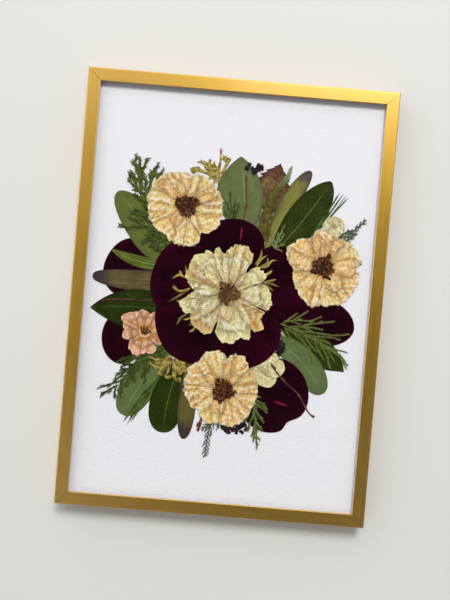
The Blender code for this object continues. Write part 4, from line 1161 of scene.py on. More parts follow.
def makeSprig(name, sprig, seed):
    # each line is a flattened strand; pairs of scale leaves swell it by 0.5 + 0.5 cos(2 pi along / pitch)
    parts = []
    for lines, thick in zip(sprigLines(sprig, seed), (1.0, 0.85)):
        if not lines:
            continue
        paths = flatPaths(lines)
        t = np.linspace(0, 1, paths.shape[1])[None, :]
        length = np.array([np.hypot(*np.diff(line, axis=0).T).sum() for line in lines])[:, None]
        scales = 0.5 + 0.5 * np.cos(2 * math.pi * t * np.maximum(length / sprig["pitch"], 1.0).round())
        width = sprig["width"] * 0.6 * thick * (1 - 0.4 * t ** 3) * np.minimum(1.0, (1.03 - t) * 9)
        width = width * (0.8 + 0.3 * scales)
        height = np.minimum(width * 0.4, 0.38)
        layPaths(paths, height, np.linspace(0, 0.12, len(lines))[:, None])
        # the scale mark paints the strand's swellings lighter and its narrows darker: painted highlight and
        # shade
        parts.append(tubePart(paths, width, height, 6, 0,
                              scale=0.1 + 0.3 * scales, along=0.4 * t + 0 * length))
        parts.append(scaleLeaves(lines, sprig["width"] * 0.85, seed + 30))
    putInPlace(name, parts, sprig, 70.0)


def putInPlace(name, parts, entry, sharp):
    # a loose entry is a piece of its own, any other one stands for the CAD node of its name
    loose = entry.get("loose", False)
    makePiece(name if loose else name + "_pressed", parts, [entry["skin"]], None if loose else name,
              sharp)


cedarSkin = sprigMaterial("cedarSkin", (14, 24, 0), (138, 150, 78), (112, 126, 58))
darkCedarSkin = sprigMaterial("darkCedarSkin", (8, 16, 0), (92, 108, 48), (80, 96, 42))
juniperSkin = sprigMaterial("juniperSkin", (10, 18, 0), (108, 120, 58), (92, 106, 50))
paleSprigSkin = sprigMaterial("paleSprigSkin", (44, 58, 20), (168, 178, 116), (150, 162, 100))
fernSkin = sprigMaterial("fernSkin", (30, 38, 18), (110, 122, 84), (96, 106, 70), 0.75)
plumeSkin = sprigMaterial("plumeSkin", (30, 30, 4), (118, 108, 50), (146, 156, 112), 0.8)
needleSkin = sprigMaterial("needleSkin", (28, 44, 12), (86, 106, 46), (84, 100, 50), 0.45)
goldenSkin = sprigMaterial("goldenSkin", (60, 42, 4), (190, 168, 88), (142, 118, 46), 0.55)
twigSkin = sprigMaterial("twigSkin", (44, 22, 22), (112, 74, 62), (90, 50, 42), 0.55)
barkSkin = sprigMaterial("barkSkin", (60, 26, 14), (136, 74, 44), (104, 50, 32), 0.6)
darkSeedSkin = seedMaterial("darkSeedSkin", (14, 6, 10), (62, 40, 50), 0.5)
stamenSkin = seedMaterial("stamenSkin", (40, 14, 12), (164, 108, 56), 0.06)
discSkin = seedMaterial("discSkin", (46, 28, 24), (176, 126, 66), 0.2)

sprigs = {
    "juniper_sprig": dict(
        level=1, width=2.3, pitch=1.5, skin=juniperSkin, spacing=3.4, twig=3.4, lean=26, slot="sprig_green",
        strands=(
            ((-58, 60.5), (-66, 71), (-68, 79.5), (-70.7, 87), (-71.4, 95)),
            ((-64, 67), (-68, 70), (-72.7, 74.7), (-75.4, 82.5)), ((-65, 68), (-69, 73), (-71.6, 82)),
            ((-70.6, 75), (-72.5, 79), (-73.6, 83)), ((-61.8, 66), (-63, 73.4), (-63.2, 80)),
            ((-65, 71), (-66, 79.6), (-65, 87), (-62, 92.7)),
            ((-60.8, 66), (-59.4, 76), (-57.3, 83), (-55.3, 90.6)),
            ((-59.8, 73.7), (-59.4, 79), (-60.2, 84.3)), ((-58.8, 68.4), (-55, 79.4), (-51.4, 86)),
            ((-67.4, 82.6), (-68, 88), (-69, 93)), ((-69, 82.5), (-71, 87), (-72.4, 90.5)),
            ((-65, 77.5), (-66.8, 81.6), (-67, 86.4)),
            ((-57, 60.6), (-62, 63.3), (-66.6, 65.6), (-70.4, 67)),
            ((-56.8, 63.3), (-61.7, 64.5), (-65, 65.8)))),
    "cedar_over_leaf": dict(
        level=2, width=1.9, pitch=1.4, skin=darkCedarSkin,
        spacing=3.6, twig=3.6, lean=24, slot="sprig_green",
        strands=(
            ((-51.8, 47.7), (-56.4, 45), (-63.3, 45), (-73.4, 43.7), (-79.2, 43.8)),
            ((-56.4, 45), (-63.4, 46), (-68.4, 49), (-73, 51)),
            ((-55, 47.4), (-59.5, 50), (-66, 53), (-72, 53.4)),
            ((-55, 49.5), (-60.7, 52.8), (-65, 55), (-69.7, 57.4)),
            ((-56.7, 55.8), (-62, 61.8), (-67, 65), (-71, 66.6)),
            ((-56.6, 54.2), (-59.4, 56.6), (-63.4, 59.8)), ((-60.4, 49), (-66, 50), (-70.7, 49.8)),
            ((-75, 43.6), (-77.2, 45), (-79.4, 45.6)), ((-55.3, 52), (-62, 54.3), (-67.4, 55.4)),
            ((-41, 36.8), (-45.6, 37.5), (-54, 38.4), (-61, 36.2)), ((-46.6, 37), (-53.8, 33), (-57, 31)),
            ((-49, 40), (-52, 40), (-58.8, 42.3)), ((-48.8, 37.8), (-56, 36), (-63, 34.2)),
            ((-44.3, 34.4), (-49.4, 31.8), (-55.7, 30.8)), ((-42.4, 31.3), (-47, 29.3), (-53.5, 29.3)),
            ((-43.8, 28.5), (-47, 27.2), (-49.2, 26)), ((-50, 41.4), (-55.7, 43), (-60, 43.8)),
            ((-52, 38.5), (-57.5, 39.7), (-61.2, 39)))),
    "cedar_lower_left": dict(
        level=1, width=1.8, pitch=1.4, skin=darkCedarSkin,
        spacing=4.2, twig=3.4, lean=26, slot="sprig_green",
        strands=(
            ((-39.3, -36.3), (-48, -43.4), (-61.8, -55), (-69.5, -63.4), (-78, -67), (-84.5, -70)),
            ((-70.7, -66.5), (-77.7, -71), (-82.5, -75.8)), ((-72, -67.6), (-72.8, -71.6), (-72.7, -76.3)),
            ((-67.6, -63.3), (-68.5, -69.3), (-68.6, -75)), ((-68.5, -64.3), (-69.7, -67.4), (-71, -71)),
            ((-63, -57.5), (-64.6, -63), (-66, -67.6)),
            ((-64.7, -56), (-67.5, -57.8), (-71, -61.6), (-74.8, -65)),
            ((-62, -53.4), (-65.8, -55.2), (-70, -58), (-73.6, -61)),
            ((-57.6, -52), (-65.8, -54.8), (-70.3, -56.4)),
            ((-57.4, -49), (-61.2, -51), (-66, -51.8), (-70.3, -54)),
            ((-50, -43.6), (-60, -47), (-64.3, -49.2), (-68, -50.5)),
            ((-50, -41.6), (-54, -43.4), (-62.6, -45.6), (-68.3, -48), (-72.5, -50.4)),
            ((-54, -47), (-54, -53.3), (-54.5, -60.7)), ((-51.8, -45.7), (-52.4, -55.6), (-53, -64.5)),
            ((-55, -48), (-56.3, -50.5), (-59.3, -56.2), (-61, -63.7)),
            ((-47, -42.4), (-49.5, -49), (-50.4, -56.4)), ((-39.7, -36.8), (-45, -44.2), (-48, -49.3)),
            ((-41.8, -35.5), (-48.2, -41.5), (-50.8, -46)), ((-37.6, -38), (-40.3, -42.3), (-43, -46)),
            ((-60, -53.8), (-62, -57.9), (-62.8, -62)))),
    "cedar_right": dict(
        level=5, width=1.3, pitch=1.3, skin=cedarSkin, spacing=8.5, twig=2.6, lean=24, slot="sprig_green",
        strands=(
            ((39, -14.4), (52.8, -19.2), (66, -25), (76.4, -30), (83.7, -34.4), (87.6, -39.7)),
            ((40.6, -13.8), (44.3, -11), (49.8, -6.2)), ((47.3, -11.3), (52, -8), (57.3, -4.3)),
            ((42, -12.7), (52.2, -11), (59.5, -10.8), (66.6, -7.5)),
            ((54.4, -14.2), (62.6, -12.5), (76.2, -9.9)), ((44.4, -12), (48.4, -12.7), (53, -14)),
            ((53.5, -14.7), (62, -15.5), (69, -16.4)), ((45.7, -16), (52.5, -15.3), (59.5, -16.7)),
            ((49, -18.6), (59.7, -18.6), (70.6, -19.2), (78, -19.6), (87.5, -17.8)),
            ((56, -21), (66, -21.6), (73.2, -21), (81.4, -22.5)), ((62, -23), (69, -23.8), (74.6, -25.5)),
            ((41.8, -16.2), (46.3, -23.7), (51.7, -29.2), (54, -32.4)),
            ((49.4, -19.5), (54.2, -24), (60.2, -31), (62, -34.2), (65.8, -38.8)),
            ((60.2, -31), (61.6, -35.7), (62.8, -40.6)), ((57, -22.8), (61.5, -28), (66, -32)),
            ((63.7, -24.7), (66.6, -30.4), (71.4, -37.4)),
            ((67.7, -26.4), (71.7, -32.4), (74, -37.7), (76, -42.4)),
            ((68.7, -26.3), (74, -31.2), (78.5, -36.8)),
            ((70.8, -27), (75.8, -28.6), (81.3, -29.7), (86.8, -30.7)),
            ((73.4, -28.8), (78.5, -32), (83.7, -35)), ((82.7, -34), (85, -37.3), (88, -39.5)),
            ((83.4, -36.4), (87.3, -42)), ((43.4, -17.5), (48, -20), (51.7, -23.2)),
            ((38.6, -20), (40.3, -22.2), (43, -24.7)), ((39.5, -18.3), (41.6, -20.6), (42.8, -22.5)))),
    "fern_right": dict(
        level=0, width=1.25, pitch=1.2, skin=fernSkin, spacing=1.7, twig=3.4, lean=34, slot="sprig_green",
        strands=(((72, 42), (80, 50), (92.2, 62.2)),
                 ((73, 46), (78, 52), (83, 54.6)), ((76, 44), (82, 48.6), (86, 52.8)))),
    "fern_bottom": dict(
        level=0, width=0.95, pitch=1.2, skin=fernSkin, spacing=1.35, twig=3.8, lean=40, slot="sprig_green",
        strands=(
            ((-1.3, -84), (-4.3, -90.6), (-5.4, -97.5), (-6, -104.4), (-6.1, -111.7)),
            ((-3, -87), (-6.4, -89.6), (-10, -93)), ((-1.6, -85), (1, -87.6), (2, -91)))),
    "cedar_bottom": dict(
        level=4, width=1.7, pitch=1.4, skin=cedarSkin, spacing=4.4, twig=2.8, lean=28, slot="sprig_green",
        strands=(
            ((24, -67.8), (26.6, -83), (28.3, -93), (29.6, -103.6)),
            ((24.5, -68.6), (30.7, -71.5), (34.4, -75)), ((24.5, -68.2), (27, -66.7), (29, -67.2)),
            ((25.2, -71), (30, -74), (34.2, -77.2)), ((26, -74.5), (29.8, -81), (33, -84.5)),
            ((27, -83), (29.5, -87), (32.3, -90.6)), ((26.8, -85.5), (25.7, -92.4), (25.2, -95)),
            ((25.4, -79.6), (23, -85.8), (22.3, -91)), ((24, -73), (21, -79), (19.8, -85.2)),
            ((28.3, -94), (29.7, -95.5), (31, -96.7)), ((27.6, -89.7), (26.7, -95), (26.8, -98.3)))),
}
looseSprigs = {
    "sprig_pale": dict(
        loose=True, level=4, width=1.1, pitch=1.5, skin=paleSprigSkin, spacing=3.0, twig=1.8, lean=40,
        strands=(
            ((31, 37), (33, 46), (36, 54.3)), ((33, 42), (35, 45), (36.2, 48.5)),
            ((31, 38), (31.4, 43), (32, 48.2)), ((31, 37), (28, 41), (26, 44.2)),
            ((30.6, 38), (30, 41), (29.6, 43.3)), ((31, 38), (34, 39.6), (36.6, 40.4)),
            ((31, 37), (33, 37), (35.5, 36.2)))),
    "sprig_on_leaf": dict(
        loose=True, level=3, width=1.1, pitch=1.4, skin=darkCedarSkin, spacing=4.0, twig=2.4, lean=28,
        strands=(
            ((0, 53), (-2.3, 64), (-4.4, 75)), ((-1, 57), (-4, 63), (-6.5, 67.8)),
            ((0, 54), (0.2, 62), (0, 69.6)), ((0.5, 55), (2, 61), (3, 67)),
            ((-1, 54), (-4, 58), (-6.8, 60.6)))),
}
sprays = {
    "golden_spray_top": dict(
        level=0, skin=goldenSkin, slot="golden_spray", width=1.0, copies=3,
        lines=(
            ((-12.3, 78.4), (-13, 88.3), (-12.4, 96.8), (-12.8, 104.3)),
            ((-13, 79.7), (-18, 85.7), (-22.6, 91.7), (-27, 94.2)),
            ((-14.7, 82.4), (-18.8, 88.5), (-20.2, 96.2)), ((-12.2, 85.5), (-15.5, 91), (-16, 94)),
            ((-10.8, 86.3), (-7.8, 93), (-5.2, 96.7)), ((-10.6, 84.2), (-9, 90), (-7.2, 94.4), (-11.7, 97)),
            ((-14, 81), (-22.2, 86), (-28, 87), (-30.7, 85.4), (-31.6, 87.4), (-29, 89.4)),
            ((-25, 87.2), (-28, 88.4), (-31, 87.8)), ((-10.3, 97.7), (-7.4, 97.3), (-5.2, 96)),
            ((-17.8, 85), (-21.8, 89.7), (-25.6, 93.2), (-27.7, 93)),
            ((-12.3, 95.4), (-9.6, 97.8), (-10.8, 99)), ((-15, 84.5), (-16.8, 89.4), (-18.5, 92.8)),
            ((-13, 82), (-11, 76), (-9, 69)), ((-14, 83), (-16.5, 78), (-18, 73)),
            ((-12, 84), (-8.5, 78), (-6.5, 72)), ((-16, 85), (-21, 80.5), (-24, 76)))),
    "golden_spray_low": dict(
        level=3, skin=goldenSkin, slot="golden_spray", width=1.15, copies=3,
        lines=(
            ((-34.3, -43.3), (-39, -45.6), (-44.8, -47), (-51.8, -45.2)),
            ((-34.2, -44.7), (-37.7, -49), (-42.5, -51.3), (-47.4, -50.8), (-50.6, -47.6)),
            ((-35.4, -47.8), (-39.5, -51), (-42.2, -54.3), (-44, -56.4), (-40, -57)),
            ((-34.8, -48.7), (-37, -53), (-38, -57.4), (-33.6, -57.3)),
            ((-34.5, -46.7), (-38.7, -49.6), (-44.3, -52.5), (-47, -51.7)),
            ((-33.2, -44.7), (-33, -51.6), (-32.2, -56.4), (-30, -61)),
            ((-30.6, -58.3), (-28.6, -59), (-27.2, -60.2)),
            ((-31.7, -45), (-30.7, -50.4), (-31, -54.3), (-31.7, -56.4)),
            ((-28.6, -46.3), (-28.7, -51.2), (-29, -55.2), (-26.4, -54.7)),
            ((-26, -46.5), (-25.8, -51), (-23.8, -54.2)), ((-27.7, -45.7), (-26.8, -50), (-25.6, -53.4)),
            ((-35.2, -44), (-40, -47.2), (-42.7, -49), (-46.7, -47.3)),
            ((-31, -48), (-28, -52), (-27.4, -55)))),
}


def makeSpray(name, spray, seed):
    # flat curled ribbons: the width swells by 0.65 + 0.5 sin(pi t) + 0.3 sin(11 t + phase), and each ribbon
    # sways and rolls up and down
    random = np.random.default_rng(seed)
    samples, copies, width = 26, spray["copies"], spray["width"]
    t = np.linspace(0, 1, samples)[None, :]
    lines = []
    for number in range(copies):
        for line in spray["lines"]:
            lines.append(curve(line, samples) + random.uniform(-0.9, 0.9, 2) * (number > 0))
    paths = flatPaths(lines)
    phase = random.uniform(0, 6, len(lines))[:, None]
    swell = 0.65 + 0.5 * np.sin(math.pi * t) + 0.30 * np.sin(t * 11 + phase)
    wide = width * swell * np.minimum(1.0, (1.03 - t) * 7)
    sway = 0.8 * np.sin(t * 9 + phase) * min(width, 1.0) * (copies > 1)
    paths[..., 0] += sway * 0.6
    paths[..., 1] += sway * 0.4
    height = np.minimum(0.25 + 0.12 * np.abs(np.sin(t * 8 + phase)), wide * 0.6)
    layPaths(paths, height, random.uniform(0, 0.12, len(lines))[:, None])
    part = tubePart(paths, wide, height, 8, 0, scale=0.5 + 0.5 * np.sin(t * 15 + 2 * phase), along=t * 0.9)
    putInPlace(name, [part], spray, 60.0)


feathers = {
    "moss_sprig": dict(stem=((19.0, 38.0), (22.0, 57.0), (25.0, 69.0),
                             (29.0, 79.0), (34.8, 87.0), (37.8, 96.5)), level=3,
                       skin=plumeSkin, slot="sprig_green",
                       hairs=1700, hair=6.4, thick=0.26, lean=46),
}


def makeFeather(name, feather, seed):
    # a thin stem with hundreds of short hairs that lean forwards; up the stem their length falls by
    # 0.12 + 1.1 (1 - at)^0.8
    random = np.random.default_rng(seed)
    stem = curve(feather["stem"], 80)
    count = feather["hairs"]
    at = random.uniform(0.02, 0.97, count)
    spot = stem[(at * 79).astype(int)]
    ahead = np.gradient(stem, axis=0)[(at * 79).astype(int)]
    ahead /= np.hypot(ahead[:, 0], ahead[:, 1])[:, None]
    side = np.where(np.arange(count) % 2, 1, -1)
    lean = np.radians(feather["lean"] + random.uniform(-16, 16, count)) * side
    cos, sin = np.cos(lean), np.sin(lean)
    way = np.stack([ahead[:, 0] * cos - ahead[:, 1] * sin, ahead[:, 0] * sin + ahead[:, 1] * cos], 1)
    size = feather["hair"] * (0.12 + 1.1 * np.clip(1 - at, 0, 1) ** 0.8) * random.uniform(0.5, 1.1, count)
    t = np.linspace(0, 1, 4)[None, :, None]
    long = size[:, None, None]
    flat = spot[:, None] + way[:, None] * long * t + ahead[:, None] * long * 0.2 * t * t
    paths = np.concatenate([flat, np.zeros(flat.shape[:2] + (1,))], -1)
    profile = np.array([0.9, 1.0, 0.8, 0.25])[None, :]
    width = feather["thick"] * profile * random.uniform(0.8, 1.3, count)[:, None]
    low = restOnPile(paths[..., 0], paths[..., 1])
    paths[..., 2] = underGlass(low + 0.08 + random.uniform(0, 0.25, count)[:, None], 0.2)
    tone = np.broadcast_to(random.uniform(0, 1, count)[:, None], width.shape)
    hairs = tubePart(paths, width, width * 0.6, 4, 0, scale=tone, along=at[:, None] + 0 * width)
    stalk = flatPaths([stem])
    stalk[..., 2] = restOnPile(stalk[..., 0], stalk[..., 1]) + 0.15
    taper = 1.05 - np.linspace(0, 1, len(stem))[None, :] * 0.7
    stem = tubePart(stalk, 0.6 * taper, 0.26, 6, 0, scale=0.3, along=0.2)
    coverPile(pile, paths[..., 0], paths[..., 1], paths[..., 2] + 0.1)
    putInPlace(name, [stem, hairs], feather, 70.0)


needleShape = dict(skin=needleSkin, slot="sprig_green", width=0.95, copies=1)
needles = {
    "needles_right": dict(needleShape, level=3, lines=(
        ((55.5, 48.0), (66.1, 61.0), (78.7, 77.1)), ((55.8, 47.6), (67.0, 62.0), (77.1, 78.3)),
        ((55.2, 48.4), (64.0, 61.0), (75.3, 79.4)), ((55.0, 48.8), (63.0, 62.0), (72.6, 80.4)),
        ((56.0, 50.0), (66.0, 64.0), (73.6, 77.0)))),
    "needles_left": dict(needleShape, level=1, lines=(
        ((-41.9, -57.8), (-54.0, -75.0), (-65.4, -92.2)), ((-41.5, -58.2), (-53.0, -76.0), (-62.7, -94.1)),
        ((-42.3, -57.4), (-54.0, -73.0), (-64.5, -89.9)), ((-41.9, -57.9), (-52.0, -74.0), (-60.9, -88.9)),
        ((-41.2, -58.6), (-52.0, -77.0), (-60.0, -92.0)))),
}
twigs = {
    "twig_left": dict(level=3, width=1.25,
                      line=((-87.1, -8.8), (-83.9, -7.6), (-77.0, -7.0),
                            (-70.1, -6.5), (-60.7, -6.4), (-46.0, -4.0)),
                      nodes=(0.10, 0.42, 0.80), skin=twigSkin, slot="twig_bark"),
    "twig_right": dict(level=6, width=1.35,
                       line=((34.6, -42.6), (36.9, -45.9), (44.5, -54.1),
                             (55.3, -62.7), (64.6, -75.8), (67.7, -78.1)),
                       nodes=(0.03, 0.08, 0.27, 0.30, 0.60, 0.97), skin=twigSkin, slot="twig_bark"),
}
loosePieces = {
    "twig_on_leaf": dict(loose=True, level=3, width=1.3,
                         line=((6.7, 86.0), (7.2, 76.1), (7.9, 67.2), (7.5, 54.0)),
                         nodes=(0.05, 0.62, 0.66), skin=barkSkin, slot="twig_bark"),
    "twig_stub": dict(loose=True, level=2, width=2.6, line=((-10.2, -82.0), (-10.9, -86.0), (-12.7, -94.3)),
                      nodes=(0.5,), skin=barkSkin, slot="twig_bark"),
}


def makeTwig(name, twig, seed):
    # a round stick that bends a little at its nodes, where it is thicker by exp(-(t - node)^2), with small
    # buds on them
    samples = 60
    t = np.linspace(0, 1, samples)
    bend = np.stack([softNoise(t * 9, t * 0, 1.0, seed), softNoise(t * 9, t * 0, 1.0, seed + 1)], 1)
    path = flatPaths([curve(twig["line"], samples) + 0.18 * bend])
    knots = sum(np.exp(-((t - at) / 0.018) ** 2) for at in twig["nodes"])
    width = twig["width"] * (0.72 + 0.4 * knots + 0.06 * softNoise(t * 40, t * 0, 1.0, seed + 2))
    height = np.minimum(width * 0.6, 0.55)
    layPaths(path, height)
    light = 0.5 + 0.5 * softNoise(t * 30, t * 0, 1.0, seed + 3)[None, :]
    stick = tubePart(path, width, height, 8, 0, scale=light, along=0.3)
    buds = []
    s = np.linspace(0, 1, 7)[:, None]
    for number, at in enumerate(twig["nodes"]):
        sample = int(at * (samples - 1))
        ahead = path[0, min(sample + 2, samples - 1)] - path[0, max(sample - 2, 0)]
        ahead = ahead / np.linalg.norm(ahead)
        side = np.array([-ahead[1], ahead[0], 0]) * (1 if number % 2 else -1)
        outwards = side * (0.25 + 0.75 * s) * twig["width"] * 0.8
        buds.append(path[0, sample] + outwards + ahead * s * twig["width"] * 1.4)
    budWidth = twig["width"] * np.array([0.3, 0.75, 0.9, 0.8, 0.6, 0.35, 0.1])[None, :]
    bud = tubePart(np.array(buds), budWidth, budWidth * 0.45, 6, 0, scale=0.2, along=0.9)
    putInPlace(name, [stick, bud], twig, 60.0)


seedHead = dict(loose=True, skin=darkSeedSkin, slot="sprig_green", grains=9)
clusters = {
    "buds_top": dict(seedHead, level=3, stalk=((11.5, 86.0), (12.0, 90.0), (14.5, 93.0)), grainSize=2.2,
                     spots=(
                         (6, 91), (6.6, 92), (8, 94.3), (10.2, 91.6), (11.3, 90.3), (11, 89), (12.3, 91),
                         (13, 90), (14, 92.7), (14.2, 94.4), (14.8, 91.3), (16.4, 93.6), (16.8, 92.4),
                         (15.5, 92), (12.5, 89.7))),
    "buds_right": dict(seedHead, level=3, stalk=((38.0, -26.0), (40.0, -30.0), (41.5, -34.0)), grainSize=2.3,
                       spots=(
                           (38.6, -28.3), (40.8, -27.6), (42, -29), (39.5, -29.7), (41.2, -30.5),
                           (39, -31.7), (40.6, -32), (42.3, -31.4), (39.8, -33.6), (41.5, -33),
                           (38.8, -34.2), (40.6, -34.5), (40, -35.5), (37.6, -36), (36, -37.6),
                           (38.6, -37))),
    "buds_bottom": dict(seedHead, level=3,
                        stalk=((10.0, -84.0), (13.0, -88.0), (16.0, -90.0)), grainSize=2.8,
                        spots=(
                            (5, -89.8), (7.5, -88.8), (8.6, -92.5), (10.6, -90.2), (11.7, -88.4),
                            (12.8, -91.7), (14, -87), (14.8, -90.3), (16.6, -86.3), (17.3, -88.8),
                            (18.6, -92), (19.2, -87), (21, -89.5), (18.5, -83.6), (17.3, -84), (14.2, -92.5),
                            (6.4, -91.4), (15.5, -88))),
    "bud_by_rose": dict(seedHead, level=4, stalk=((90.2, 30.4), (91.0, 31.0), (91.8, 31.4)),
                        grainSize=0.9, spots=((91.3, 31.6), (90.0, 34.8))),
}


def makeCluster(name, cluster, seed):
    # every bud is a few short fat grains leaning out of one spot
    random = np.random.default_rng(seed)
    spots = np.repeat(np.array(cluster["spots"]), cluster["grains"], axis=0)
    count = len(spots)
    turn = random.uniform(0, 2 * math.pi, count)
    size = cluster["grainSize"] * random.uniform(0.7, 1.2, count)
    t = np.linspace(0, 1, 5)[None, :]
    x = spots[:, :1] + np.cos(turn)[:, None] * size[:, None] * (t - 0.2)
    y = spots[:, 1:] + np.sin(turn)[:, None] * size[:, None] * (t - 0.2)
    width = size[:, None] * np.array([0.25, 0.55, 0.62, 0.48, 0.14])
    low = restOnPile(x, y)
    z = underGlass(low + 0.15 + random.uniform(0, 0.2, count)[:, None], 0.25)
    tone = np.broadcast_to(random.uniform(-0.6, 0.4, count)[:, None].clip(0), width.shape)
    grains = tubePart(np.stack([x, y, z], -1), width, width * 0.42, 6, 0, tone=tone)
    path = flatPaths([curve(cluster["stalk"], 20)])
    path[..., 2] = restOnPile(path[..., 0], path[..., 1]) + 0.16
    stalk = tubePart(path, 0.5, 0.3, 6, 0, tone=0.2)
    coverPile(pile, x, y, z + 0.15)
    putInPlace(name, [stalk, grains], cluster, 70.0)


# the feathery collar behind the centre flower: each hooked lobe from its root to its tip
collar = (
    ((-28.7, 11.4), (-34, 13.8), (-39.4, 10.5)), ((-32.4, 12.5), (-33.7, 15.3), (-34.5, 17)),
    ((-28.8, 12), (-30, 17.7), (-30.6, 21.2)), ((-26, 5.2), (-33, 2.5), (-39, 4.8)),
    ((-26, 4.5), (-32.8, -0.4), (-40.2, -5.6)), ((-34.4, 2.4), (-37, 5), (-38.3, 6.3)),
    ((-26, -12.7), (-30.8, -16), (-33.5, -21.5)), ((-23.7, -15.3), (-26.4, -16.6), (-29.2, -17.2)),
    ((-21.8, -20.2), (-24, -20.4), (-25.4, -20.5)), ((-20.4, -20.8), (-21.5, -23.7), (-24.6, -25.4)),
    ((-31, -6), (-33.8, -4.7), (-35.3, -4)), ((17.8, 25.3), (21, 30.5), (21.6, 36.3)),
    ((18.7, 24), (22.5, 30), (25.8, 32.4)), ((19.4, 23.3), (25.8, 24.5), (29.7, 29), (33.2, 29.4)),
    ((21.5, 24), (26.2, 27.4), (26.3, 31)), ((24.2, 18), (28.3, 20.4), (30.2, 22.4)),
    ((24.6, 13), (29.4, 14.8), (33.6, 16.2)), ((24.6, 13), (30.3, 12.7), (35.8, 11)),
    ((24.7, 12.3), (29, 9.8), (32.2, 7.9)),
)


def layCollar():
    # flat lobes that widen in the middle and end in a point
    samples = 22
    t = np.linspace(0, 1, samples)[None, :]
    paths = flatPaths([curve(line, samples) for line in collar])
    random = np.random.default_rng(77)
    wide = 1.5 * (0.5 + 0.6 * np.sin(math.pi * t)) * np.minimum(1, (1.04 - t) * 4)
    wide = wide * random.uniform(0.75, 1.1, len(collar))[:, None]
    low = restOnPile(paths[..., 0], paths[..., 1])
    paths[..., 2] = low + 0.03 + 0.08 * np.sin(t * 7 + random.uniform(0, 6, len(collar))[:, None])
    coverPile(pile, paths[..., 0], paths[..., 1], paths[..., 2] + 0.1)
    return tubePart(paths, wide, 0.2, 6, 2,
                    scale=random.uniform(0, 1, len(collar))[:, None] + 0 * t, along=t * 0.8)


paleSkin = crumpledMaterial("paleSkin", dict(paleLook, petal=(244, 234, 174), petal2=(232, 216, 154)))
palePetal = dict(skin=paleSkin, slot="cream_petal", grid=(44, 44), depth=0.6, thick=0.05)
loosePetals = {
    "pale_petal_low": dict(palePetal,
                           shape=((17.0, -47.0), -14.0, 23.5, 40.0, 3.0, 0.50, 0.08, 8.0), level=4),
    "pale_petal_high": dict(palePetal,
                            shape=((29.5, -50.0), 54.0, 16.5, 80.0, 2.6, 0.50, 0.10, -8.0), level=5),
}


def makeLoosePetal(name, petal, seed):
    # a crumpled pale petal: its outline wanders by noise, its relief is creased facets and pleats from its
    # base
    x, y, out, turn = petalGrid(petal["shape"], *petal["grid"])
    x = x + 0.9 * cloud(x, y, 4.0, seed + 7) * out
    y = y + 0.9 * cloud(x, y, 4.0, seed + 8) * out
    pleats = wrinkles(turn * 5 + 0.3 * cloud(x, y, 6.0, seed + 5), out, 1.0, seed + 3)
    relief = 0.9 * creasedSheet(x, y, 2.4, seed) + 0.25 * pleats + 0.2 * smoothStep(out, 0.9, 1.0)
    z = underGlass(restOnPile(x, y) + petal["depth"] * relief, 0.15)
    coverPile(pile, x, y, z)
    # painted shade in the hollows and painted highlights on the crests
    crease, crest = hollowsAndCrests(relief, 0.25)
    marks = dict(crease=crease, crest=crest, out=out,
                 relief=relief, tone=0.3 + 0 * out, stain=0.0, fan=turn * 14)
    putInPlace(name, [sheetPart(x, y, z, petal["thick"], 0, **marks)], petal, 50.0)


flowerSkins = {name: crumpledMaterial(name + "Skin", flower["look"]) for name, flower in flowers.items()}


def pinkHeart(flower):
    # a pale cup with six dark fingers that lean to the upper right
    cx, cy = flower["centre"]
    fingers = (
        ((-1.5, -1.6), (-3.3, 3.6)), ((-1.2, -1.2), (-0.9, 4.4)), ((-0.6, -1.4), (1.6, 4.2)),
        ((-0.2, -1.8), (4.3, 1.2)), ((-0.8, -1.0), (-2.0, 2.2)), ((-0.4, -1.2), (2.6, 2.4)))
    t = np.linspace(0, 1, 9)[None, :]
    ends = np.array(fingers)
    x = cx + ends[:, 0, 0][:, None] * (1 - t) + ends[:, 1, 0][:, None] * t
    y = cy + ends[:, 0, 1][:, None] * (1 - t) + ends[:, 1, 1][:, None] * t
    profile = np.array([0.5, 0.6, 0.7, 0.8, 0.95, 1.1, 1.15, 0.9, 0.3])[None, :]
    width = 1.1 * profile * np.ones((len(ends), 1))
    z = underGlass(readPile(pile, x, y, 1) + 0.12, 0.25)
    threads = tubePart(np.stack([x, y, z], -1), width, width * 0.3, 6, 1, tone=0.1 + 0.5 * t + 0 * width)
    a = np.linspace(math.radians(150), math.radians(345), 24)[None, :]
    low = readPile(pile, cx + 3 * np.cos(a), cy + 3 * np.sin(a), 1) + 0.05
    ring = np.stack([cx - 0.2 + 3.5 * np.cos(a), cy - 0.2 + 3.2 * np.sin(a), low], -1)
    cup = tubePart(ring, 1.3, 0.25, 6, 0, tone=0.0, out=0.95, crest=1.0)
    return [threads, cup]


def makeFlower(name, flower, seed):
    # the petals on the pile, then the flower's heart; the collar of the centre flower lies under its petals
    collarPart = [layCollar()] if name == "centre_flower" else []
    parts = stackPetals(name, flower, seed)
    if "stamens" in flower:
        parts += stamenParts(flower, 1, seed + 7)
    elif name == "small_pink_flower":
        parts += pinkHeart(flower)
    heart = discSkin if name == "centre_flower" else stamenSkin
    skins = [flowerSkins[name], heart, goldenSkin]
    makePiece(name + "_pressed", parts + collarPart, skins, name, 65.0)


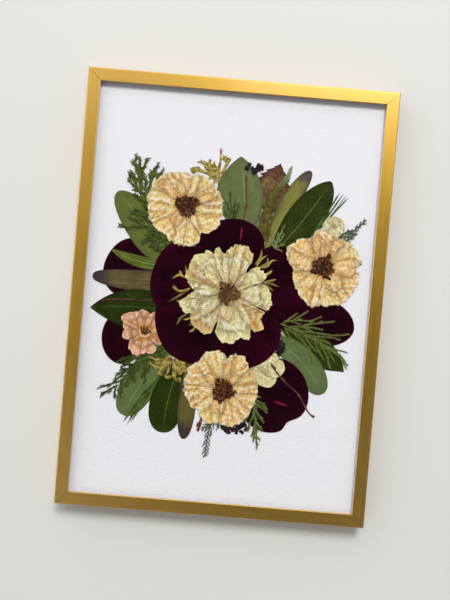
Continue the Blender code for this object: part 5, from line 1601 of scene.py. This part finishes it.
# what is laid on each level, in this order: the pieces, their maker, the seed of the first and the step to
# the next
kinds = (
    (leaves, makeLeaf, 40, 0), (velvetPetals, makeVelvetPetal, 80, 17), (sprigs, makeSprig, 140, 1),
    (looseSprigs, makeSprig, 150, 1), (sprays, makeSpray, 160, 1), (feathers, makeFeather, 170, 1),
    (needles, makeSpray, 180, 1), (twigs, makeTwig, 190, 1), (loosePieces, makeTwig, 195, 1),
    (loosePetals, makeLoosePetal, 200, 9), (clusters, makeCluster, 230, 1), (flowers, makeFlower, 0, 0),
)
for level in range(8):
    for pieces, make, firstSeed, seedStep in kinds:
        for number, (name, entry) in enumerate(pieces.items()):
            if entry["level"] == level:
                make(name, entry, entry.get("seed", firstSeed + number * seedStep))
    print("level", level, "laid, highest point",
          round(float(pile["height"].max()), 2), "mm of", round(glassLow, 2))


studio = {
    "floorColour": screenColour(212, 211, 206), "floorSize": 4.0, "floorRoughness": 0.85,
    "keyPower": 26.0, "keySize": (0.50, 0.50), "keyAt": (0.12, 0.98, 1.70), "keyColour": (1.0, 0.985, 0.975),
    "sheenPower": 8.0, "sheenSize": (0.80, 0.90), "sheenAt": (0.37, 0.92, 1.20),
    "zenith": 0.01, "coneStart": 0.985, "coneEnd": 0.93, "backSky": 0.20, "frontSky": 0.63, "leftSky": 2.3,
    "skyColour": (0.96, 0.97, 1.0), "cameraAt": (-0.00398, 0.00617, 0.5385),
    "cameraTurn": (-0.826, -0.239, 4.745), "lens": 45.0,
}


def makeLamp(name, power, size, at, aimX=0.0):
    # a rectangular lamp of the studio's colour, aimed at a point of the table
    light = bpy.data.lights.new(name, "AREA")
    light.shape, light.size, light.size_y = "RECTANGLE", *size
    light.energy, light.color = power, studio["keyColour"]
    lamp = bpy.data.objects.new(name, light)
    lamp.location = at
    lamp.rotation_euler = (Vector((aimX, 0, 0)) - lamp.location).to_track_quat("-Z", "Y").to_euler()
    bpy.context.scene.collection.objects.link(lamp)
    return lamp


def makeStudio():
    # a pale table, a soft light over the top, one that only the metal mirrors, and a sky that is brighter
    # low down
    scene = bpy.context.scene
    half = studio["floorSize"] / 2
    mesh = bpy.data.meshes.new("floor")
    mesh.from_pydata([(-half, -half, 0), (half, -half, 0), (half, half, 0), (-half, half, 0)],
                     [], [(0, 1, 2, 3)])
    floor = bpy.data.objects.new("floor", mesh)
    scene.collection.objects.link(floor)
    material, tree, shader = newMaterial("paleTable")
    feed(tree, shader, Base=studio["floorColour"], Roughness=studio["floorRoughness"], Specular=0.2)
    mesh.materials.append(material)

    softbox = makeLamp("softbox", studio["keyPower"], studio["keySize"], studio["keyAt"])
    softbox.visible_glossy = False
    highlight = makeLamp("highlight", studio["sheenPower"],
                         studio["sheenSize"], studio["sheenAt"], studio["sheenAt"][0])
    highlight.visible_diffuse = False

    world = bpy.data.worlds.new("studioSky")
    scene.world = world
    world.use_nodes = True
    tree = world.node_tree
    tree.nodes.clear()
    way = put(tree, "ShaderNodeSeparateXYZ",
              {0: put(tree, "ShaderNodeTexCoord").outputs["Generated"]}).outputs
    sides = step(tree, way[1], -0.5, 0.5, studio["backSky"], studio["frontSky"])
    sides = times(tree, sides, step(tree, way[0], 0.1, -0.3, 1.0, studio["leftSky"]))
    cone = step(tree, way[2], studio["coneStart"], studio["coneEnd"])
    strength = plus(tree, times(tree, sides, cone), studio["zenith"])
    background = put(tree, "ShaderNodeBackground",
                     {"Color": studio["skyColour"] + (1.0,), "Strength": strength})
    output = put(tree, "ShaderNodeOutputWorld")
    tree.links.new(background.outputs[0], output.inputs[0])

    lens = bpy.data.cameras.new("camera")
    lens.lens, lens.sensor_width, lens.sensor_fit = studio["lens"], 36.0, "AUTO"
    lens.clip_start, lens.clip_end = 0.01, 20.0
    camera = bpy.data.objects.new("camera", lens)
    camera.location = studio["cameraAt"]
    camera.rotation_euler = [math.radians(v) for v in studio["cameraTurn"]]
    scene.collection.objects.link(camera)
    scene.camera = camera
    scene.view_settings.view_transform = "Standard"
    scene.view_settings.look = "None"


makeStudio()
print("studio ready")
